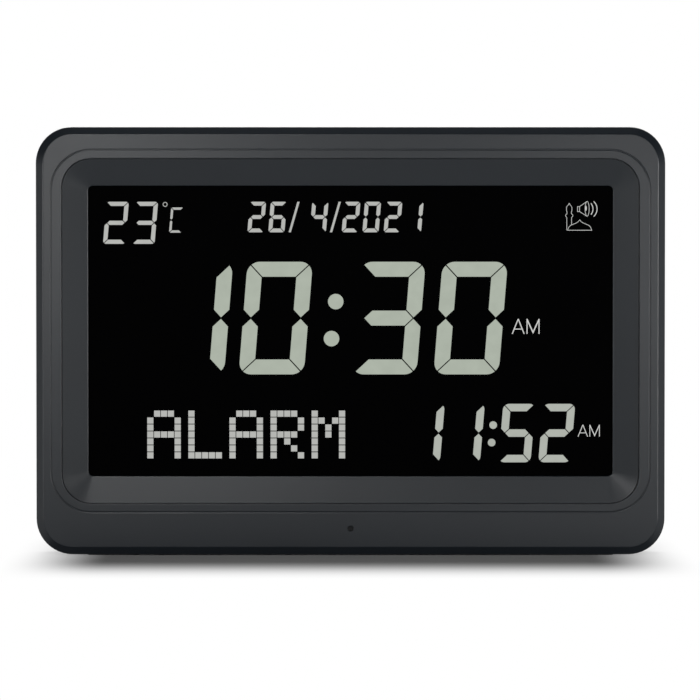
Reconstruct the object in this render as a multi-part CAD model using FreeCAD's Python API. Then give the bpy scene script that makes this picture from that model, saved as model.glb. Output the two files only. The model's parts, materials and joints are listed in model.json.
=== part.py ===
import FreeCAD, Part
import math
import os

# Azan clock. Millimetres, +Z up, front face towards -Y, +X to the right seen from the front.
# The origin is the middle of the footprint, on the surface that the clock stands on.

# ---- Housing ----
housing_width = 370.0
housing_height = 251.5
housing_depth = 36.0
corner_radius = 21.2
edge_chamfer = 4.4
edge_chamfer_depth = 3.4
edge_softening = 0.8
rear_edge_radius = 3.0
seam_radius = 0.35
side_wall = 2.4
front_wall = 2.4
rear_wall = 2.2
front_shell_depth = 22.0
lip_height = 2.5
lip_thickness = 1.2
lip_clearance = 0.15
foot_length = 30.0
foot_width = 7.0
foot_height = 0.6
foot_inset = 45.0
foot_edge_margin = 6.0

# ---- Display opening, bezel and trim line ----
side_border = 30.6
top_border = 34.55
bottom_border = 46.05
window_radius = 3.0
side_slope_width = 15.4
end_slope_width = 16.1
slope_depth = 3.6
opening_radius = 17.6
bezel_step = 1.2
bezel_gap = 0.35
bezel_edge = 1.2
bezel_edge_radius = 0.5
bezel_seat = 6.0
bezel_rim = 1.8
bezel_flange = 5.0
bezel_flange_thickness = 1.6
bezel_flange_root = 3.0
side_groove_offset = 6.2
end_groove_offset = 5.0
groove_width = 0.8
groove_depth = 0.5

# ---- Display stack, from the window backwards ----
polariser_thickness = 0.2
glass_thickness = 1.1
glass_margin = 4.6
glass_corner_radius = 1.5
contact_ledge = 3.0
contact_overlap = 2.5
diffuser_thickness = 0.3
light_guide_thickness = 3.0
reflector_thickness = 0.3
frame_wall = 2.4
frame_floor = 1.2
frame_corner_radius = 3.0
frame_clearance = 0.6
led_count = 12
led_depth = 1.2
led_length = 4.0
led_board_thickness = 1.0
display_post_radius = 2.8
display_post_height = 6.0
display_post_edge = 0.4
ear_width = 10.0
ear_thickness = 1.2
side_ear_offset = 60.0
ear_ribbon_gap = 7.0

# ---- Screws ----
housing_screw_radius = 1.5
housing_screw_length = 14.0
housing_head_radius = 2.8
housing_head_height = 2.0
housing_post_radius = 4.0
housing_boss_radius = 4.5
small_screw_radius = 1.0
small_screw_length = 4.0
small_head_radius = 2.1
small_head_height = 1.3
screw_clearance = 0.2
pilot_clearance = 0.02
recess_width = 0.6
post_side_inset = 20.0
post_top_inset = 8.2
post_base_height = 13.5
post_inner_offset = 60.0
post_setback = 1.0
boss_floor = 6.0

# ---- Main board ----
board_width = 130.0
board_height = 80.0
board_thickness = 1.6
board_standoff = 1.6
board_centre_x = 33.0
board_base_height = 90.0
board_post_radius = 2.6
board_hole_inset = 5.0
socket_width = 8.0
socket_height = 6.0
socket_depth = 6.0
ribbon_width = 40.0
ribbon_thickness = 0.3
ribbon_bay_gap = 5.0
ribbon_socket_margin = 1.5
ribbon_socket_depth = 3.6
ribbon_socket_gap = 3.5
ribbon_drop = 6.0
socket_edge_margin = 1.0
processor_size = 14.0
sound_chip_width = 10.0
sound_chip_height = 6.0
amplifier_width = 5.0
amplifier_height = 4.0
chip_thickness = 1.5
chip_corner_radius = 0.3
chip_bevel = 0.2
board_corner_radius = 1.0
crystal_width = 11.0
crystal_height = 4.6
crystal_thickness = 3.5
large_can_radius = 4.0
small_can_radius = 3.15
lead_radius = 0.7
lead_bend = 4.0
lead_run = 30.0
lead_spacing = 3.0
lead_clearance = 5.0
lead_wall_gap = 0.1

# ---- Sensor behind the round front hole ----
sensor_hole_radius = 1.7
sensor_height = 15.3
sensor_radius = 2.5
sensor_length = 4.0
sensor_air = 0.2
sensor_board_width = 26.0
sensor_board_height = 10.0
sensor_post_offset = 9.5

# ---- Rear keys ----
key_names = ["mode", "set", "up", "down", "sound"]
key_pitch = 20.0
key_width = 12.0
key_height = 6.4
key_fit = 0.2
key_travel = 0.5
key_flange = 1.2
key_flange_thickness = 1.0
key_drop_from_top = 29.5
key_panel_depth = 1.6
key_panel_margin = 4.0
key_proud = 1.2
key_edge_radius = 0.4
plunger_radius = 1.6
plunger_length = 2.2
plunger_clearance = 0.08
plunger_overtravel = 0.2
switch_size = 6.2
switch_height = 3.5
key_board_height = 14.0
key_board_overhang = 13.0

# ---- Battery bay, three AA cells ----
cell_radius = 7.25
cell_body_length = 49.0
cell_nub_length = 1.5
cell_nub_radius = 2.7
cell_edge_radius = 0.6
cell_spacing = 0.4
cell_clearance = 0.2
spring_length = 6.7
spring_radius = 3.6
spring_wire_radius = 0.4
spring_turns = 3.0
contact_thickness = 0.4
contact_size = 10.0
bay_base_height = 26.0
bay_wall = 4.0
bay_floor = 1.6
door_thickness = 2.0
door_gap = 0.25
door_ledge = 1.8
door_pin_radius = 0.6
door_pin_length = 1.6
door_pin_fit = 0.05
grip_count = 5
grip_pitch = 2.0
grip_length = 16.0
grip_width = 0.9
grip_depth = 0.4
finger_radius = 9.0
finger_depth = 1.0
finger_overlap = 3.6

# ---- Stand legs ----
leg_inset = 67.0
leg_width = 26.0
leg_thickness = 6.0
leg_length = 84.0
leg_side_gap = 2.0
leg_recess_gap = 0.6
leg_below_face = 1.0
leg_bottom_gap = 1.4
leg_recess_bottom = 4.6
leg_recess_wall = 2.0
leg_panel_margin = 4.0
leg_panel_depth = 1.2
leg_pin_radius = 1.5
leg_pin_fit = 0.05
leg_pad_height = 2.0

# ---- Speaker ----
speaker_x = -70.0
speaker_height = 150.0
speaker_radius = 28.5
speaker_flange_thickness = 1.2
speaker_flange_width = 3.5
speaker_gasket_thickness = 0.8
speaker_basket_depth = 7.8
speaker_wall = 1.0
speaker_screw_gap = 0.3
magnet_radius = 16.2
magnet_thickness = 6.5
magnet_edge_radius = 0.8
pole_radius = 7.0
coil_radius = 8.0
coil_wall = 0.6
cone_thickness = 0.5
cone_edge_width = 2.0
cap_height = 2.2
neck_height = 3.0
grille_radius = 24.0
grille_slot = 2.2
grille_pitch = 4.4

# ---- DC inlet ----
inlet_leg_gap = 33.0
inlet_height = 32.0
inlet_width = 10.0
inlet_body_height = 11.0
inlet_length = 13.8
inlet_bore_radius = 3.0
inlet_bore_depth = 10.0
inlet_pin_radius = 1.05
inlet_pin_root_radius = 1.4
inlet_pin_root_length = 1.0
inlet_wall_hole_radius = 4.2
inlet_pin_setback = 0.6

# ---- Wall keyholes ----
keyhole_spacing = 190.0
keyhole_drop_from_top = 46.5
keyhole_head_radius = 4.2
keyhole_slot_width = 4.0
keyhole_slot_rise = 9.0
keyhole_pocket_depth = 8.0
keyhole_pocket_margin = 1.5
keyhole_pocket_wall = 1.6

# ---- Vents and label field ----
vent_x = 72.0
vent_height = 150.0
vent_count = 5
vent_length = 34.0
label_x = 72.0
label_height = 112.0
label_width = 52.0
label_field_height = 30.0
label_depth = 0.3
label_corner_radius = 2.0

# ---- Levels worked out from the sizes above ----
front_y = -housing_depth / 2
back_y = housing_depth / 2
split_y = front_y + front_shell_depth
bottom_z = foot_height
top_z = bottom_z + housing_height
centre_z = bottom_z + housing_height / 2
window_width = housing_width - 2 * side_border
window_height = housing_height - top_border - bottom_border
window_z = bottom_z + bottom_border + window_height / 2
inner_width = housing_width - 2 * side_wall
inner_height = housing_height - 2 * side_wall
inner_radius = corner_radius - side_wall
opening_width = window_width + 2 * side_slope_width
opening_height = window_height + 2 * end_slope_width
front_inner_y = front_y + front_wall
rear_inner_y = back_y - rear_wall

bezel_rim_y = front_y + bezel_step
window_edge_y = bezel_rim_y + slope_depth
display_y = window_edge_y + bezel_edge
front_glass_y = display_y + polariser_thickness
rear_glass_y = front_glass_y + glass_thickness
rear_polariser_y = rear_glass_y + glass_thickness
diffuser_y = rear_polariser_y + polariser_thickness
light_guide_y = diffuser_y + diffuser_thickness
reflector_y = light_guide_y + light_guide_thickness
frame_floor_y = reflector_y + reflector_thickness
frame_back_y = frame_floor_y + frame_floor
board_y = frame_back_y + board_standoff
board_back_y = board_y + board_thickness

glass_width = window_width + 2 * glass_margin
glass_height = window_height + 2 * glass_margin
frame_width = glass_width + 2 * (frame_clearance + frame_wall)
frame_height = glass_height + 2 * (frame_clearance + frame_wall)
flange_width = opening_width + 2 * bezel_flange
flange_height = opening_height + 2 * bezel_flange
flange_back_y = front_inner_y + bezel_flange_thickness
ear_y = flange_back_y + display_post_height
board_bottom_z = bottom_z + board_base_height
board_top_z = board_bottom_z + board_height
board_left_x = board_centre_x - board_width / 2
board_right_x = board_centre_x + board_width / 2
ribbon_bottom_z = window_z - frame_height / 2 - ribbon_drop

sensor_z = bottom_z + sensor_height
sensor_face_y = front_inner_y + sensor_air
sensor_board_y = sensor_face_y + sensor_length

key_z = top_z - key_drop_from_top
key_floor_y = back_y - key_panel_depth
key_inner_y = key_floor_y - rear_wall
key_flange_y = key_inner_y - key_flange_thickness
plunger_y = key_flange_y - plunger_length
switch_top_y = key_flange_y - 2 * key_travel - plunger_clearance
key_board_back_y = switch_top_y - switch_height
key_board_y = key_board_back_y - board_thickness
key_row_half = key_pitch * (len(key_names) - 1) / 2
key_panel_half_width = key_row_half + key_width / 2 + key_panel_margin
key_panel_half_height = key_height / 2 + key_panel_margin
key_board_half = key_panel_half_width + key_board_overhang

bay_half_length = (cell_body_length + cell_nub_length + spring_length) / 2 + contact_thickness
cell_pitch = 2 * cell_radius + cell_spacing
bay_height = 3 * cell_pitch + cell_spacing
bay_z = bottom_z + bay_base_height
ribbon_x = bay_half_length + bay_wall + ribbon_bay_gap + ribbon_width / 2
door_inner_y = back_y - door_thickness
cell_y = door_inner_y - cell_clearance - cell_radius
bay_floor_y = cell_y - cell_radius - cell_clearance
bay_back_y = bay_floor_y - bay_floor
door_axis_y = back_y - door_thickness / 2
door_axis_z = bay_z - door_ledge + door_gap + door_thickness / 2
door_top_z = bay_z + bay_height + door_ledge - door_gap
door_half_length = bay_half_length + door_ledge - door_gap

leg_x = housing_width / 2 - leg_inset
leg_y = back_y - leg_below_face - leg_thickness / 2
leg_foot_z = bottom_z + leg_recess_bottom + leg_bottom_gap
leg_axis_z = leg_foot_z + leg_length
leg_recess_y = leg_y - leg_thickness / 2 - leg_recess_gap
leg_recess_half = leg_width / 2 + leg_side_gap
leg_recess_top_z = leg_axis_z + leg_thickness / 2 + leg_recess_gap

speaker_z = bottom_z + speaker_height
speaker_rim_y = rear_inner_y - speaker_gasket_thickness
speaker_flange_y = speaker_rim_y - speaker_flange_thickness
speaker_plate_y = speaker_flange_y - speaker_basket_depth
speaker_back_y = speaker_plate_y - magnet_thickness
speaker_screw_radius = speaker_radius + small_screw_radius + speaker_screw_gap

inlet_x = leg_x - leg_recess_half - leg_recess_wall - inlet_leg_gap
inlet_z = bottom_z + inlet_height
inlet_back_y = rear_inner_y - inlet_length
vent_z = bottom_z + vent_height
keyhole_z = top_z - keyhole_drop_from_top


def vector(x, y, z):
    return FreeCAD.Vector(x, y, z)


def rounded_wire(width, height, radius, y, z, x=0.0):
    """Rectangle with round corners in the plane at y, centred on x and z."""
    diagonal = radius * math.sqrt(0.5)
    arcs = []
    for side, end in [(1, 1), (-1, 1), (-1, -1), (1, -1)]:
        corner_x = x + side * (width / 2 - radius)
        corner_z = z + end * (height / 2 - radius)
        on_side = vector(corner_x + side * radius, y, corner_z)
        middle = vector(corner_x + side * diagonal, y, corner_z + end * diagonal)
        on_end = vector(corner_x, y, corner_z + end * radius)
        points = [on_side, middle, on_end]
        if side * end < 0:
            points.reverse()
        arcs.append(points)
    edges = []
    for index, arc in enumerate(arcs):
        following = arcs[(index + 1) % len(arcs)]
        edges.append(Part.Arc(*arc).toShape())
        if arc[2].distanceToPoint(following[0]) > 1e-6:
            edges.append(Part.LineSegment(arc[2], following[0]).toShape())
    return Part.Wire(edges)


def plate(width, height, radius, y0, y1, z, x=0.0):
    """Rounded rectangle between two depths."""
    face = Part.Face(rounded_wire(width, height, radius, y0, z, x))
    return face.extrude(vector(0, y1 - y0, 0))


def taper(front_wire, rear_wire):
    """Solid between two rounded rectangles at different depths."""
    return Part.makeLoft([front_wire, rear_wire], True, True)


def block(x0, x1, y0, y1, z0, z1):
    return Part.makeBox(x1 - x0, y1 - y0, z1 - z0, vector(x0, y0, z0))


def rod_x(radius, x0, x1, y, z):
    return Part.makeCylinder(radius, x1 - x0, vector(x0, y, z), vector(1, 0, 0))


def rod_y(radius, y0, y1, x, z):
    return Part.makeCylinder(radius, y1 - y0, vector(x, y0, z), vector(0, 1, 0))


def turned(profile, x, z):
    """Solid turned about the depth axis from (radius, y) points."""
    points = [vector(x + radius, y, z) for radius, y in profile]
    points.append(points[0])
    face = Part.Face(Part.makePolygon(points))
    return face.revolve(vector(x, 0, z), vector(0, 1, 0), 360)


def fused(shapes):
    whole = shapes[0]
    if len(shapes) > 1:
        whole = whole.fuse(shapes[1:])
    return whole.removeSplitter()


def soften(shape, y, radius):
    """Rounds the edges that lie in the plane at y."""
    edges = []
    for edge in shape.Edges:
        if edge.BoundBox.YLength < 1e-4 and abs(edge.BoundBox.YMin - y) < 1e-4:
            edges.append(edge)
    return shape.makeFillet(radius, edges)


def screw(x, z, seat_y, way, radius, length, head_radius, head_height):
    """Pan-head screw with a cross recess; way is +1 with the head towards the back."""
    head_end = seat_y + way * head_height
    tip = seat_y - way * length
    shank = rod_y(radius, min(seat_y, tip), max(seat_y, tip), x, z)
    head = rod_y(head_radius, min(seat_y, head_end), max(seat_y, head_end), x, z)
    head = soften(head, head_end, head_height * 0.3)
    half = recess_width / 2
    reach = head_radius * 0.55
    recess_end = head_end - way * head_height * 0.6
    low = min(head_end, recess_end)
    high = max(head_end, recess_end)
    cross = block(x - half, x + half, low, high, z - reach, z + reach)
    cross = cross.fuse(block(x - reach, x + reach, low, high, z - half, z + half))
    return fused([shank, head]).cut(cross)


def small_screw(x, z, seat_y, way):
    return screw(x, z, seat_y, way, small_screw_radius, small_screw_length, small_head_radius,
                 small_head_height)


def small_post(x, z, foot_y, seat_y, radius):
    """Post with a pilot hole for a small screw, open at seat_y."""
    low = min(foot_y, seat_y)
    high = max(foot_y, seat_y)
    return rod_y(radius, low, high, x, z)


def small_pilot(x, z, seat_y, way):
    radius = small_screw_radius + pilot_clearance
    end = seat_y - way * small_screw_length
    return rod_y(radius, min(seat_y, end), max(seat_y, end), x, z)


def routed_tube(points, radius, bend):
    """Round tube along straight runs joined by tangent arcs."""
    route = [vector(*point) for point in points]
    edges = []
    start = route[0]
    for index in range(1, len(route) - 1):
        corner = route[index]
        back = (route[index - 1] - corner).normalize()
        onward = (route[index + 1] - corner).normalize()
        half_angle = back.getAngle(onward) / 2
        shorter = min(corner.distanceToPoint(route[index - 1]), corner.distanceToPoint(route[index + 1]))
        tangent = min(bend / math.tan(half_angle), 0.45 * shorter)
        arc_radius = tangent * math.tan(half_angle)
        bisector = (back + onward).normalize()
        entry = corner + back * tangent
        leave = corner + onward * tangent
        middle = corner + bisector * (arc_radius / math.sin(half_angle) - arc_radius)
        edges.append(Part.LineSegment(start, entry).toShape())
        edges.append(Part.Arc(entry, middle, leave).toShape())
        start = leave
    edges.append(Part.LineSegment(start, route[-1]).toShape())
    path = Part.Wire(edges)
    circle = Part.Circle(route[0], route[1] - route[0], radius)
    profile = Part.Wire([circle.toShape()])
    return path.makePipeShell([profile], True, True)


# ---- Housing ----

def housing_post_places():
    """Centres of the eight housing screws."""
    outer_x = housing_width / 2 - post_side_inset
    upper_z = top_z - post_top_inset
    lower_z = bottom_z + post_base_height
    places = []
    for x in [-outer_x, -post_inner_offset, post_inner_offset, outer_x]:
        places.append((x, upper_z))
        places.append((x, lower_z))
    return places


def front_shell():
    chamfered = taper(
        rounded_wire(housing_width - 2 * edge_chamfer, housing_height - 2 * edge_chamfer,
                     corner_radius - edge_chamfer, front_y, centre_z),
        rounded_wire(housing_width, housing_height, corner_radius, front_y + edge_chamfer_depth, centre_z))
    sides = plate(housing_width, housing_height, corner_radius, front_y + edge_chamfer_depth, split_y,
                  centre_z)
    body = fused([chamfered, sides])
    body = soften(body, front_y, edge_softening)
    body = soften(body, front_y + edge_chamfer_depth, edge_softening)
    body = soften(body, split_y, seam_radius)
    hollow_front = taper(
        rounded_wire(inner_width - 2 * edge_chamfer, inner_height - 2 * edge_chamfer,
                     inner_radius - edge_chamfer, front_inner_y, centre_z),
        rounded_wire(inner_width, inner_height, inner_radius, front_inner_y + edge_chamfer_depth, centre_z))
    hollow_rear = plate(inner_width, inner_height, inner_radius, front_inner_y + edge_chamfer_depth,
                        split_y, centre_z)
    body = body.cut(fused([hollow_front, hollow_rear]))
    body = body.cut(plate(opening_width, opening_height, opening_radius, front_y, front_inner_y, window_z))
    body = body.cut(trim_groove())
    body = body.cut(rod_y(sensor_hole_radius, front_y, front_inner_y, 0, sensor_z))
    end = post_end_y()
    tip = screw_seat_y() - housing_screw_length
    pilot = housing_screw_radius + pilot_clearance
    posts = [rod_y(housing_post_radius, front_inner_y, end, x, z) for x, z in housing_post_places()]
    pilots = [rod_y(pilot, tip, end, x, z) for x, z in housing_post_places()]
    for side in [-1, 1]:
        x = side * sensor_post_offset
        posts.append(small_post(x, sensor_z, front_inner_y, sensor_board_y, board_post_radius))
        pilots.append(rod_y(small_screw_radius + pilot_clearance, front_inner_y, sensor_board_y,
                            x, sensor_z))
    return fused([body] + posts).cut(pilots)


def trim_groove():
    """Thin line cut round the display opening."""
    width = opening_width + 2 * side_groove_offset
    height = opening_height + 2 * end_groove_offset
    radius = opening_radius + side_groove_offset
    outer = plate(width + groove_width, height + groove_width, radius + groove_width / 2,
                  front_y, front_y + groove_depth, window_z)
    inner = plate(width - groove_width, height - groove_width, radius - groove_width / 2,
                  front_y, front_y + groove_depth, window_z)
    return outer.cut(inner)


def display_post_places():
    """Centres of the eight posts behind the bezel that carry the display."""
    inset = display_post_radius + display_post_edge
    side_x = flange_width / 2 - inset
    end_ear_x = ribbon_x + ribbon_width / 2 + ear_ribbon_gap + ear_width / 2
    end_z = flange_height / 2 - inset
    places = []
    for side in [-1, 1]:
        for end in [-1, 1]:
            places.append((side * side_x, window_z + end * side_ear_offset))
            places.append((side * end_ear_x, window_z + end * end_z))
    return places


def display_bezel():
    width = opening_width - 2 * bezel_gap
    height = opening_height - 2 * bezel_gap
    radius = opening_radius - bezel_gap
    seat_width = window_width + 2 * bezel_seat
    seat_height = window_height + 2 * bezel_seat
    rim_back_y = bezel_rim_y + bezel_rim
    rim = plate(width, height, radius, bezel_rim_y, rim_back_y, window_z)
    cone = taper(rounded_wire(width, height, radius, rim_back_y, window_z),
                 rounded_wire(seat_width, seat_height, window_radius + bezel_seat, display_y, window_z))
    flange = plate(flange_width, flange_height, opening_radius + bezel_flange, front_inner_y,
                   flange_back_y, window_z)
    flange = flange.cut(plate(width - 2 * bezel_flange_root, height - 2 * bezel_flange_root,
                              radius - bezel_flange_root, front_inner_y, flange_back_y, window_z))
    clear = housing_post_radius + bezel_gap
    flange = flange.cut([rod_y(clear, front_inner_y, flange_back_y, x, z)
                         for x, z in housing_post_places()])
    posts = [rod_y(display_post_radius, flange_back_y, ear_y, x, z) for x, z in display_post_places()]
    body = fused([rim, cone, flange] + posts)
    slope = taper(rounded_wire(width, height, radius, bezel_rim_y, window_z),
                  rounded_wire(window_width, window_height, window_radius, window_edge_y, window_z))
    window = plate(window_width, window_height, window_radius, window_edge_y, display_y, window_z)
    pilots = [small_pilot(x, z, ear_y, 1) for x, z in display_post_places()]
    body = soften(body.cut(fused([slope, window])), window_edge_y, bezel_edge_radius)
    return body.cut(pilots)


def pocket(x0, x1, z0, z1, floor_y, wall):
    """Box moulded into the rear cover, open at the back: its block and its cavity."""
    outside = block(x0 - wall, x1 + wall, floor_y - wall, rear_inner_y, z0 - wall, z1 + wall)
    cavity = block(x0, x1, floor_y, back_y, z0, z1)
    return outside, cavity


def rear_cover():
    body = plate(housing_width, housing_height, corner_radius, split_y, back_y, centre_z)
    body = soften(body, back_y, rear_edge_radius)
    body = soften(body, split_y, seam_radius)
    body = body.cut(plate(inner_width, inner_height, inner_radius, split_y, rear_inner_y, centre_z))
    added = [locating_lip()]
    removed = []
    for part in [battery_bay, leg_recesses, key_panel, keyholes, screw_bosses, key_board_posts,
                 speaker_mount]:
        more, less = part()
        added += more
        removed += less
    removed += speaker_grille() + vents() + [label_field(), inlet_hole()]
    return fused([body] + added).cut(removed)


def locating_lip():
    """Tongue round the rear cover's edge that locates it inside the front shell."""
    hole = plate(inner_width - 2 * (lip_clearance + lip_thickness),
                 inner_height - 2 * (lip_clearance + lip_thickness),
                 inner_radius - lip_clearance - lip_thickness,
                 split_y - lip_height, split_y + lip_height, centre_z)
    tongue = plate(inner_width - 2 * lip_clearance, inner_height - 2 * lip_clearance,
                   inner_radius - lip_clearance, split_y - lip_height, split_y, centre_z)
    root = plate(inner_width, inner_height, inner_radius, split_y, split_y + lip_height, centre_z)
    return fused([tongue, root]).cut(hole)


def battery_bay():
    outside = block(-bay_half_length - bay_wall, bay_half_length + bay_wall, bay_back_y, rear_inner_y,
                    bay_z - bay_wall, bay_z + bay_height + bay_wall)
    cavity = block(-bay_half_length, bay_half_length, bay_floor_y, back_y, bay_z, bay_z + bay_height)
    door_seat = block(-bay_half_length - door_ledge, bay_half_length + door_ledge, door_inner_y, back_y,
                      bay_z - door_ledge, bay_z + bay_height + door_ledge)
    pin_reach = door_half_length + door_pin_length + door_pin_fit
    pin_hole = rod_x(door_pin_radius + door_pin_fit, -pin_reach, pin_reach, door_axis_y, door_axis_z)
    finger_notch = rod_y(finger_radius, back_y - finger_depth, back_y, 0,
                         bay_z + bay_height + door_ledge - finger_overlap)
    return [outside], [cavity, door_seat, pin_hole, finger_notch]


def leg_recesses():
    added = []
    removed = []
    for side in [-1, 1]:
        x = side * leg_x
        outside, cavity = pocket(x - leg_recess_half, x + leg_recess_half,
                                 bottom_z + leg_recess_bottom, leg_recess_top_z,
                                 leg_recess_y, leg_recess_wall)
        added.append(outside)
        removed.append(cavity)
        removed.append(leg_pin_rod(x))
    return added, removed


def leg_pin_rod(x):
    """The pin's own place, through both side walls of a leg recess."""
    reach = leg_recess_half + leg_recess_wall
    return rod_x(leg_pin_radius, x - reach, x + reach, leg_y, leg_axis_z)


def key_places():
    places = []
    for index, name in enumerate(key_names):
        places.append((name, key_row_half - index * key_pitch))
    return places


def key_panel():
    outside = block(-key_panel_half_width - rear_wall, key_panel_half_width + rear_wall,
                    key_inner_y, rear_inner_y, key_z - key_panel_half_height - rear_wall,
                    key_z + key_panel_half_height + rear_wall)
    field = plate(2 * key_panel_half_width, 2 * key_panel_half_height, key_panel_half_height / 2,
                  key_floor_y, back_y, key_z)
    holes = []
    for name, x in key_places():
        holes.append(plate(key_width + 2 * key_fit, key_height + 2 * key_fit, key_height / 2 + key_fit,
                           key_inner_y, key_floor_y, key_z, x))
    return [outside], [field] + holes


def keyhole_shape(x, y0, y1):
    """Round head hole with a slot above it."""
    head = rod_y(keyhole_head_radius, y0, y1, x, keyhole_z)
    half = keyhole_slot_width / 2
    slot = block(x - half, x + half, y0, y1, keyhole_z, keyhole_z + keyhole_slot_rise)
    end = rod_y(half, y0, y1, x, keyhole_z + keyhole_slot_rise)
    return fused([head, slot, end])


def keyholes():
    added = []
    removed = []
    reach = keyhole_head_radius + keyhole_pocket_margin
    floor_y = rear_inner_y - keyhole_pocket_depth
    wall = keyhole_pocket_wall
    for side in [-1, 1]:
        x = side * keyhole_spacing / 2
        low = keyhole_z - reach
        high = keyhole_z + keyhole_slot_rise + reach
        added.append(block(x - reach - wall, x + reach + wall, floor_y - wall, rear_inner_y,
                           low - wall, high + wall))
        removed.append(block(x - reach, x + reach, floor_y, rear_inner_y, low, high))
        removed.append(keyhole_shape(x, rear_inner_y, back_y))
    return added, removed


def post_end_y():
    """Where the front shell's screw posts meet the rear cover's bosses."""
    return split_y - post_setback


def screw_seat_y():
    return post_end_y() + boss_floor


def screw_bosses():
    added = []
    removed = []
    seat_y = screw_seat_y()
    for x, z in housing_post_places():
        added.append(rod_y(housing_boss_radius, post_end_y(), rear_inner_y, x, z))
        removed.append(rod_y(housing_head_radius + screw_clearance, seat_y, back_y, x, z))
        removed.append(rod_y(housing_screw_radius + screw_clearance, post_end_y(), seat_y, x, z))
    return added, removed


def key_board_post_places():
    x = key_board_half - board_hole_inset
    return [(-x, key_z), (x, key_z)]


def key_board_posts():
    added = []
    removed = []
    for x, z in key_board_post_places():
        added.append(small_post(x, z, key_board_back_y, rear_inner_y, board_post_radius))
        removed.append(small_pilot(x, z, key_board_back_y, -1))
    return added, removed


def speaker_screw_places():
    places = []
    for index in range(4):
        angle = math.radians(45 + 90 * index)
        places.append((speaker_x + speaker_screw_radius * math.cos(angle),
                       speaker_z + speaker_screw_radius * math.sin(angle)))
    return places


def speaker_mount():
    """Short posts round the speaker, cut back to the rim that they locate."""
    added = []
    clear = rod_y(speaker_radius + pilot_clearance, speaker_flange_y, rear_inner_y, speaker_x, speaker_z)
    removed = []
    for x, z in speaker_screw_places():
        post = small_post(x, z, speaker_flange_y, rear_inner_y, board_post_radius)
        added.append(post.cut(clear))
        removed.append(rod_y(small_screw_radius + pilot_clearance, speaker_flange_y,
                             rear_inner_y + rear_wall / 2, x, z))
    return added, removed


def slot_plate(length, height, x, z):
    return plate(length, height, height / 2, rear_inner_y, back_y, z, x)


def speaker_grille():
    slots = []
    rows = int(grille_radius / grille_pitch)
    for row in range(-rows, rows + 1):
        offset = row * grille_pitch
        half_length = math.sqrt(grille_radius ** 2 - offset ** 2)
        slots.append(slot_plate(2 * half_length, grille_slot, speaker_x, speaker_z + offset))
    return slots


def vents():
    first = -(vent_count - 1) / 2
    return [slot_plate(vent_length, grille_slot, vent_x, vent_z + (first + row) * grille_pitch)
            for row in range(vent_count)]


def label_field():
    """Shallow bare field for a plate."""
    return plate(label_width, label_field_height, label_corner_radius, back_y - label_depth, back_y,
                 bottom_z + label_height, label_x)


def inlet_hole():
    return rod_y(inlet_wall_hole_radius, rear_inner_y, back_y, inlet_x, inlet_z)


def housing_screws():
    return [screw(x, z, screw_seat_y(), 1, housing_screw_radius, housing_screw_length,
                  housing_head_radius, housing_head_height) for x, z in housing_post_places()]


def rubber_feet():
    feet = []
    front_foot_y = front_y + edge_chamfer_depth + foot_edge_margin
    rear_foot_y = back_y - rear_edge_radius - foot_edge_margin
    for side in [-1, 1]:
        x = side * (housing_width / 2 - foot_inset)
        for y in [front_foot_y, rear_foot_y]:
            pad = block(x - foot_length / 2, x + foot_length / 2, y - foot_width / 2, y + foot_width / 2,
                        0, foot_height)
            upright = [edge for edge in pad.Edges if edge.BoundBox.ZLength > foot_height / 2]
            feet.append(pad.makeFillet(foot_width * 0.45, upright))
    return feet


# ---- Display ----

def display_sheet(width, height, y, thickness, shift_x=0.0, shift_z=0.0):
    return plate(width, height, glass_corner_radius, y, y + thickness, window_z + shift_z, shift_x)


def front_polariser():
    return display_sheet(glass_width, glass_height - contact_ledge, display_y, polariser_thickness,
                         0, contact_ledge / 2)


def front_glass():
    return display_sheet(glass_width, glass_height - contact_ledge, front_glass_y, glass_thickness,
                         0, contact_ledge / 2)


def rear_glass():
    return display_sheet(glass_width, glass_height, rear_glass_y, glass_thickness)


def rear_polariser():
    return display_sheet(glass_width, glass_height, rear_polariser_y, polariser_thickness)


def diffuser_sheet():
    return display_sheet(glass_width, glass_height, diffuser_y, diffuser_thickness)


def light_guide_left():
    """Left edge of the light guide, where the LEDs shine in."""
    return -glass_width / 2 - frame_clearance + led_board_thickness + led_depth


def light_guide_sheet(y, thickness):
    left = light_guide_left()
    right = glass_width / 2
    return display_sheet(right - left, glass_height, y, thickness, (left + right) / 2)


def light_guide():
    return light_guide_sheet(light_guide_y, light_guide_thickness)


def reflector_sheet():
    return light_guide_sheet(reflector_y, reflector_thickness)


def backlight_board():
    left = -glass_width / 2 - frame_clearance
    half = glass_height / 2 - glass_margin
    return block(left, left + led_board_thickness, light_guide_y, reflector_y, window_z - half,
                 window_z + half)


def backlight_leds():
    left = light_guide_left() - led_depth
    pitch = window_height / led_count
    leds = []
    for index in range(led_count):
        z = window_z - window_height / 2 + (index + 0.5) * pitch
        leds.append(block(left, left + led_depth, light_guide_y, reflector_y, z - led_length / 2,
                          z + led_length / 2))
    return leds


def ribbon_slot():
    """Gap in the frame's lower wall, where the ribbon leaves the glass."""
    half = ribbon_width / 2 + frame_clearance
    low = window_z - frame_height / 2
    return block(ribbon_x - half, ribbon_x + half, display_y, rear_glass_y, low, low + frame_wall)


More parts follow.
